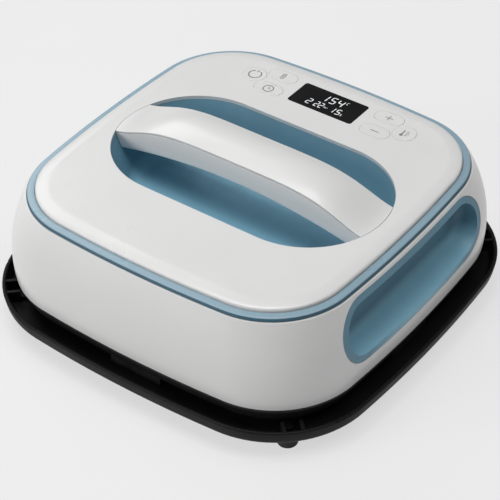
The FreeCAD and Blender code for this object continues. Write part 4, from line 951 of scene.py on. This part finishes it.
# %% Ribbons of ink
def ribbon(points, width, closed=False):
    """Quads between the line moved half a width left and half a width right."""
    points = np.asarray(points, float)
    before = np.roll(points, 1, axis=0)
    after = np.roll(points, -1, axis=0)
    if not closed:
        before[0], after[-1] = points[0], points[-1]
    along = after - before
    along = along / np.linalg.norm(along, axis=1, keepdims=True)
    aside = np.column_stack([-along[:, 1], along[:, 0]]) * width / 2
    right, left = points - aside, points + aside
    if closed:
        right, left = np.vstack([right, right[:1]]), np.vstack([left, left[:1]])
    return list(np.stack([right[:-1], right[1:], left[1:], left[:-1]], axis=1))


def ring_arc(x, y, radius, start, end, count=40):
    """Points of an arc in degrees about a centre."""
    a = np.radians(np.linspace(start, end, count))
    return np.column_stack([x + radius * np.cos(a), y + radius * np.sin(a)])


def line(x0, y0, x1, y1, width):
    """Straight ribbon."""
    return ribbon([(x0, y0), (x1, y1)], width)


INK = plastic("printed_ink", colour=(0.125, 0.13, 0.135), shade=(0.16, 0.165, 0.17),
              rubbed=(0.2, 0.2, 0.2), gloss=(0.35, 0.5), grain=2500.0, depth=0.01, rub=0.2,
              cloud=400.0)
print("a full ring has", len(ribbon(ring_arc(0, 0, 3, 0, 351), 0.5, True)), "quads")

# %% [markdown]
# Each mark is a short recipe of arcs and lines about the middle of its key. They could
# be drawn as curves and given a width, but flat quads stay crisp.

# %% The six marks
MARKS_Z, MARKS_THICK = 108.10 * MM, 0.05 * MM


def power_mark(x, y):
    """Ring with a gap away from the user and a short bar in the gap."""
    return ribbon(ring_arc(x, y, 5.0, 118, 422), 0.85) + line(x, y + 3.4, x, y + 6.0, 0.85)


def mode_mark(x, y):
    """Thermometer beside three short level lines."""
    stem = line(x - 1.4, y - 1.2, x - 1.4, y + 3.6, 0.9)
    bulb = ribbon(ring_arc(x - 1.4, y - 2.6, 0.85, 0, 342, 20), 1.0, True)
    levels = [(2.6, 2.9), (0.4, 3.6), (-1.8, 2.9)]
    return stem + bulb + sum((line(x + 0.9, y + k, x + end, y + k, 0.6) for k, end in levels), [])


def temperature_mark(x, y):
    """Thermometer: a round-ended outline with tick lines inside."""
    outline = np.vstack([ring_arc(x, y + 2.3, 1.35, 0, 180, 12),
                         ring_arc(x, y - 2.3, 1.35, 180, 360, 12)])
    levels = (-2.0, -1.0, 0.0, 1.0, 2.0)
    ticks = sum((line(x - 0.7, y + k, x + 0.7, y + k, 0.45) for k in levels), [])
    return ribbon(outline, 0.5, True) + ticks


def timer_mark(x, y):
    """Clock: a ring and two hands."""
    return (ribbon(ring_arc(x, y, 4.0, 0, 351), 0.75, True) + line(x, y, x, y + 2.4, 0.55)
            + line(x - 0.2, y, x + 2.0, y, 0.55))


def plus_mark(x, y):
    """Two crossed bars."""
    return (line(x - 3.3, y, x + 3.3, y, 0.6) + line(x, y + 0.3, x, y + 3.1, 0.6)
            + line(x, y - 3.1, x, y - 0.3, 0.6))


def minus_mark(x, y):
    """One bar."""
    return line(x - 3.6, y, x + 3.6, y, 0.65)


MARKS = {"power": power_mark, "mode": mode_mark, "temperature": temperature_mark,
         "timer": timer_mark, "plus": plus_mark, "minus": minus_mark}
for key, (x, y) in KEY_PLACES.items():
    shape = MARKS[key](x, PANEL_Y / MM + y)
    flat_piece(key + "_mark", shape, MARKS_Z, MARKS_THICK, INK, key + "_button")
print("marks on", ", ".join(MARKS))

# %% [markdown]
# ## Floor, lamps and camera
#
# A studio sweep could be modelled, but from above only the floor shows. It is one wide
# pale sheet with a whisper of grain. Large square lamps give soft shadows: the bigger a
# lamp is against its distance, the softer its shadow and the broader its glint on gloss.

# %% The floor
EVEN_SHARE = 0.75


def floor_finish():
    """Matt pale paper; the camera and reflections see three quarters of it as evenly lit."""
    material, tree, shader, vector = blank("paper_floor")
    tone = ramp(tree, noise(tree, vector, 6.0), 0.3, 0.7)
    paper = blend_colour(tree, tone, (0.825, 0.825, 0.825, 1), (0.835, 0.835, 0.835, 1))
    tree.links.new(paper, shader.inputs["Base Color"])
    rough = ramp(tree, noise(tree, vector, 300.0), 0.3, 0.7, 0.85, 0.95)
    tree.links.new(rough, shader.inputs["Roughness"])
    shader.inputs["Specular IOR Level"].default_value = 0.1
    even = tree.nodes.new("ShaderNodeEmission")
    tree.links.new(paper, even.inputs["Color"])
    path = tree.nodes.new("ShaderNodeLightPath")
    mirrored = maths(tree, "MAXIMUM", path.outputs["Is Glossy Ray"],
                     path.outputs["Is Transmission Ray"])
    seen = maths(tree, "MAXIMUM", path.outputs["Is Camera Ray"], mirrored)
    mix = tree.nodes.new("ShaderNodeMixShader")
    share = maths(tree, "MULTIPLY", seen, EVEN_SHARE)
    tree.links.new(share, mix.inputs["Fac"])
    tree.links.new(shader.outputs[0], mix.inputs[1])
    tree.links.new(even.outputs[0], mix.inputs[2])
    tree.links.new(mix.outputs[0], tree.nodes["Material Output"].inputs["Surface"])
    return material


def sheet_mesh(name, half, z):
    """Square sheet of one face."""
    mesh = bpy.data.meshes.new(name)
    corners = [(-half, -half, z), (half, -half, z), (half, half, z), (-half, half, z)]
    mesh.from_pydata(corners, [], [(0, 1, 2, 3)])
    return new_object(name, mesh)


floor = sheet_mesh("floor", half=6.0, z=0.0)
floor.data.materials.append(floor_finish())
print("floor is", floor.dimensions.x, "m wide")

# %% [markdown]
# Four square lamps light the press. The overhead one is the main light. The front one
# fills the walls that face us, and the two at the sides lift the handle and the hand
# hold. The room itself glows dimly and evenly, so that no corner goes quite black.

# %% The lamps
def lamp(name, at, aim, size, power):
    """Square area lamp at a point, turned to face another."""
    light = bpy.data.lights.new(name, "AREA")
    light.shape = "SQUARE"
    light.size = size
    light.energy = power
    holder = new_object(name, light)
    holder.location = at
    holder.rotation_euler = (Vector(aim) - Vector(at)).to_track_quat("-Z", "Y").to_euler()


lamp("overhead_lamp", at=(-0.25, -0.2, 2.15), aim=(0, 0, 0.05), size=1.3, power=26)
lamp("front_lamp", at=(-1.3, -2.0, 1.0), aim=(0, 0, 0.06), size=1.2, power=24)
lamp("left_lamp", at=(-1.4, 0.6, 1.3), aim=(0, 0, 0.08), size=1.0, power=8)
lamp("side_lamp", at=(0.85, 0.1, 1.95), aim=(0, 0, 0.06), size=0.7, power=8)
world = bpy.data.worlds.new("room")
bpy.context.scene.world = world
world.use_nodes = True
glow = world.node_tree.nodes["Background"]
glow.inputs["Color"].default_value = (0.80, 0.80, 0.80, 1)
glow.inputs["Strength"].default_value = 0.20
bpy.context.scene.view_settings.view_transform = "Standard"

# %% [markdown]
# The camera stands in front and to the right, looking down at about 39 degrees with a
# long lens, so that the box shows little perspective. Its place and its tilt are given
# by three axes: right, up and backwards, which form the camera's own rotation matrix.

# %% The camera
TURN = math.radians(36.6867)
RISE = math.radians(39.2628)
ROLL = math.radians(-0.8601)
STAND = (0.63474, -0.85405, 0.90252)
SENSOR, LENS = 36.0, 133.38
back = Vector((math.sin(TURN) * math.cos(RISE), -math.cos(TURN) * math.cos(RISE), math.sin(RISE)))
level = Vector((math.cos(TURN), math.sin(TURN), 0))
right = level * math.cos(ROLL) + back.cross(level) * math.sin(ROLL)
up = back.cross(right)
camera = new_object("camera", bpy.data.cameras.new("camera"))
turn = Matrix((right, up, back)).transposed().to_4x4()
camera.matrix_world = Matrix.Translation(STAND) @ turn
camera.data.sensor_width = SENSOR
camera.data.lens = LENS
camera.data.shift_y = -0.002
camera.data.clip_start = 0.05
bpy.context.scene.camera = camera
print("camera is", round(camera.location.length, 3), "m away, lens", camera.data.lens, "mm")
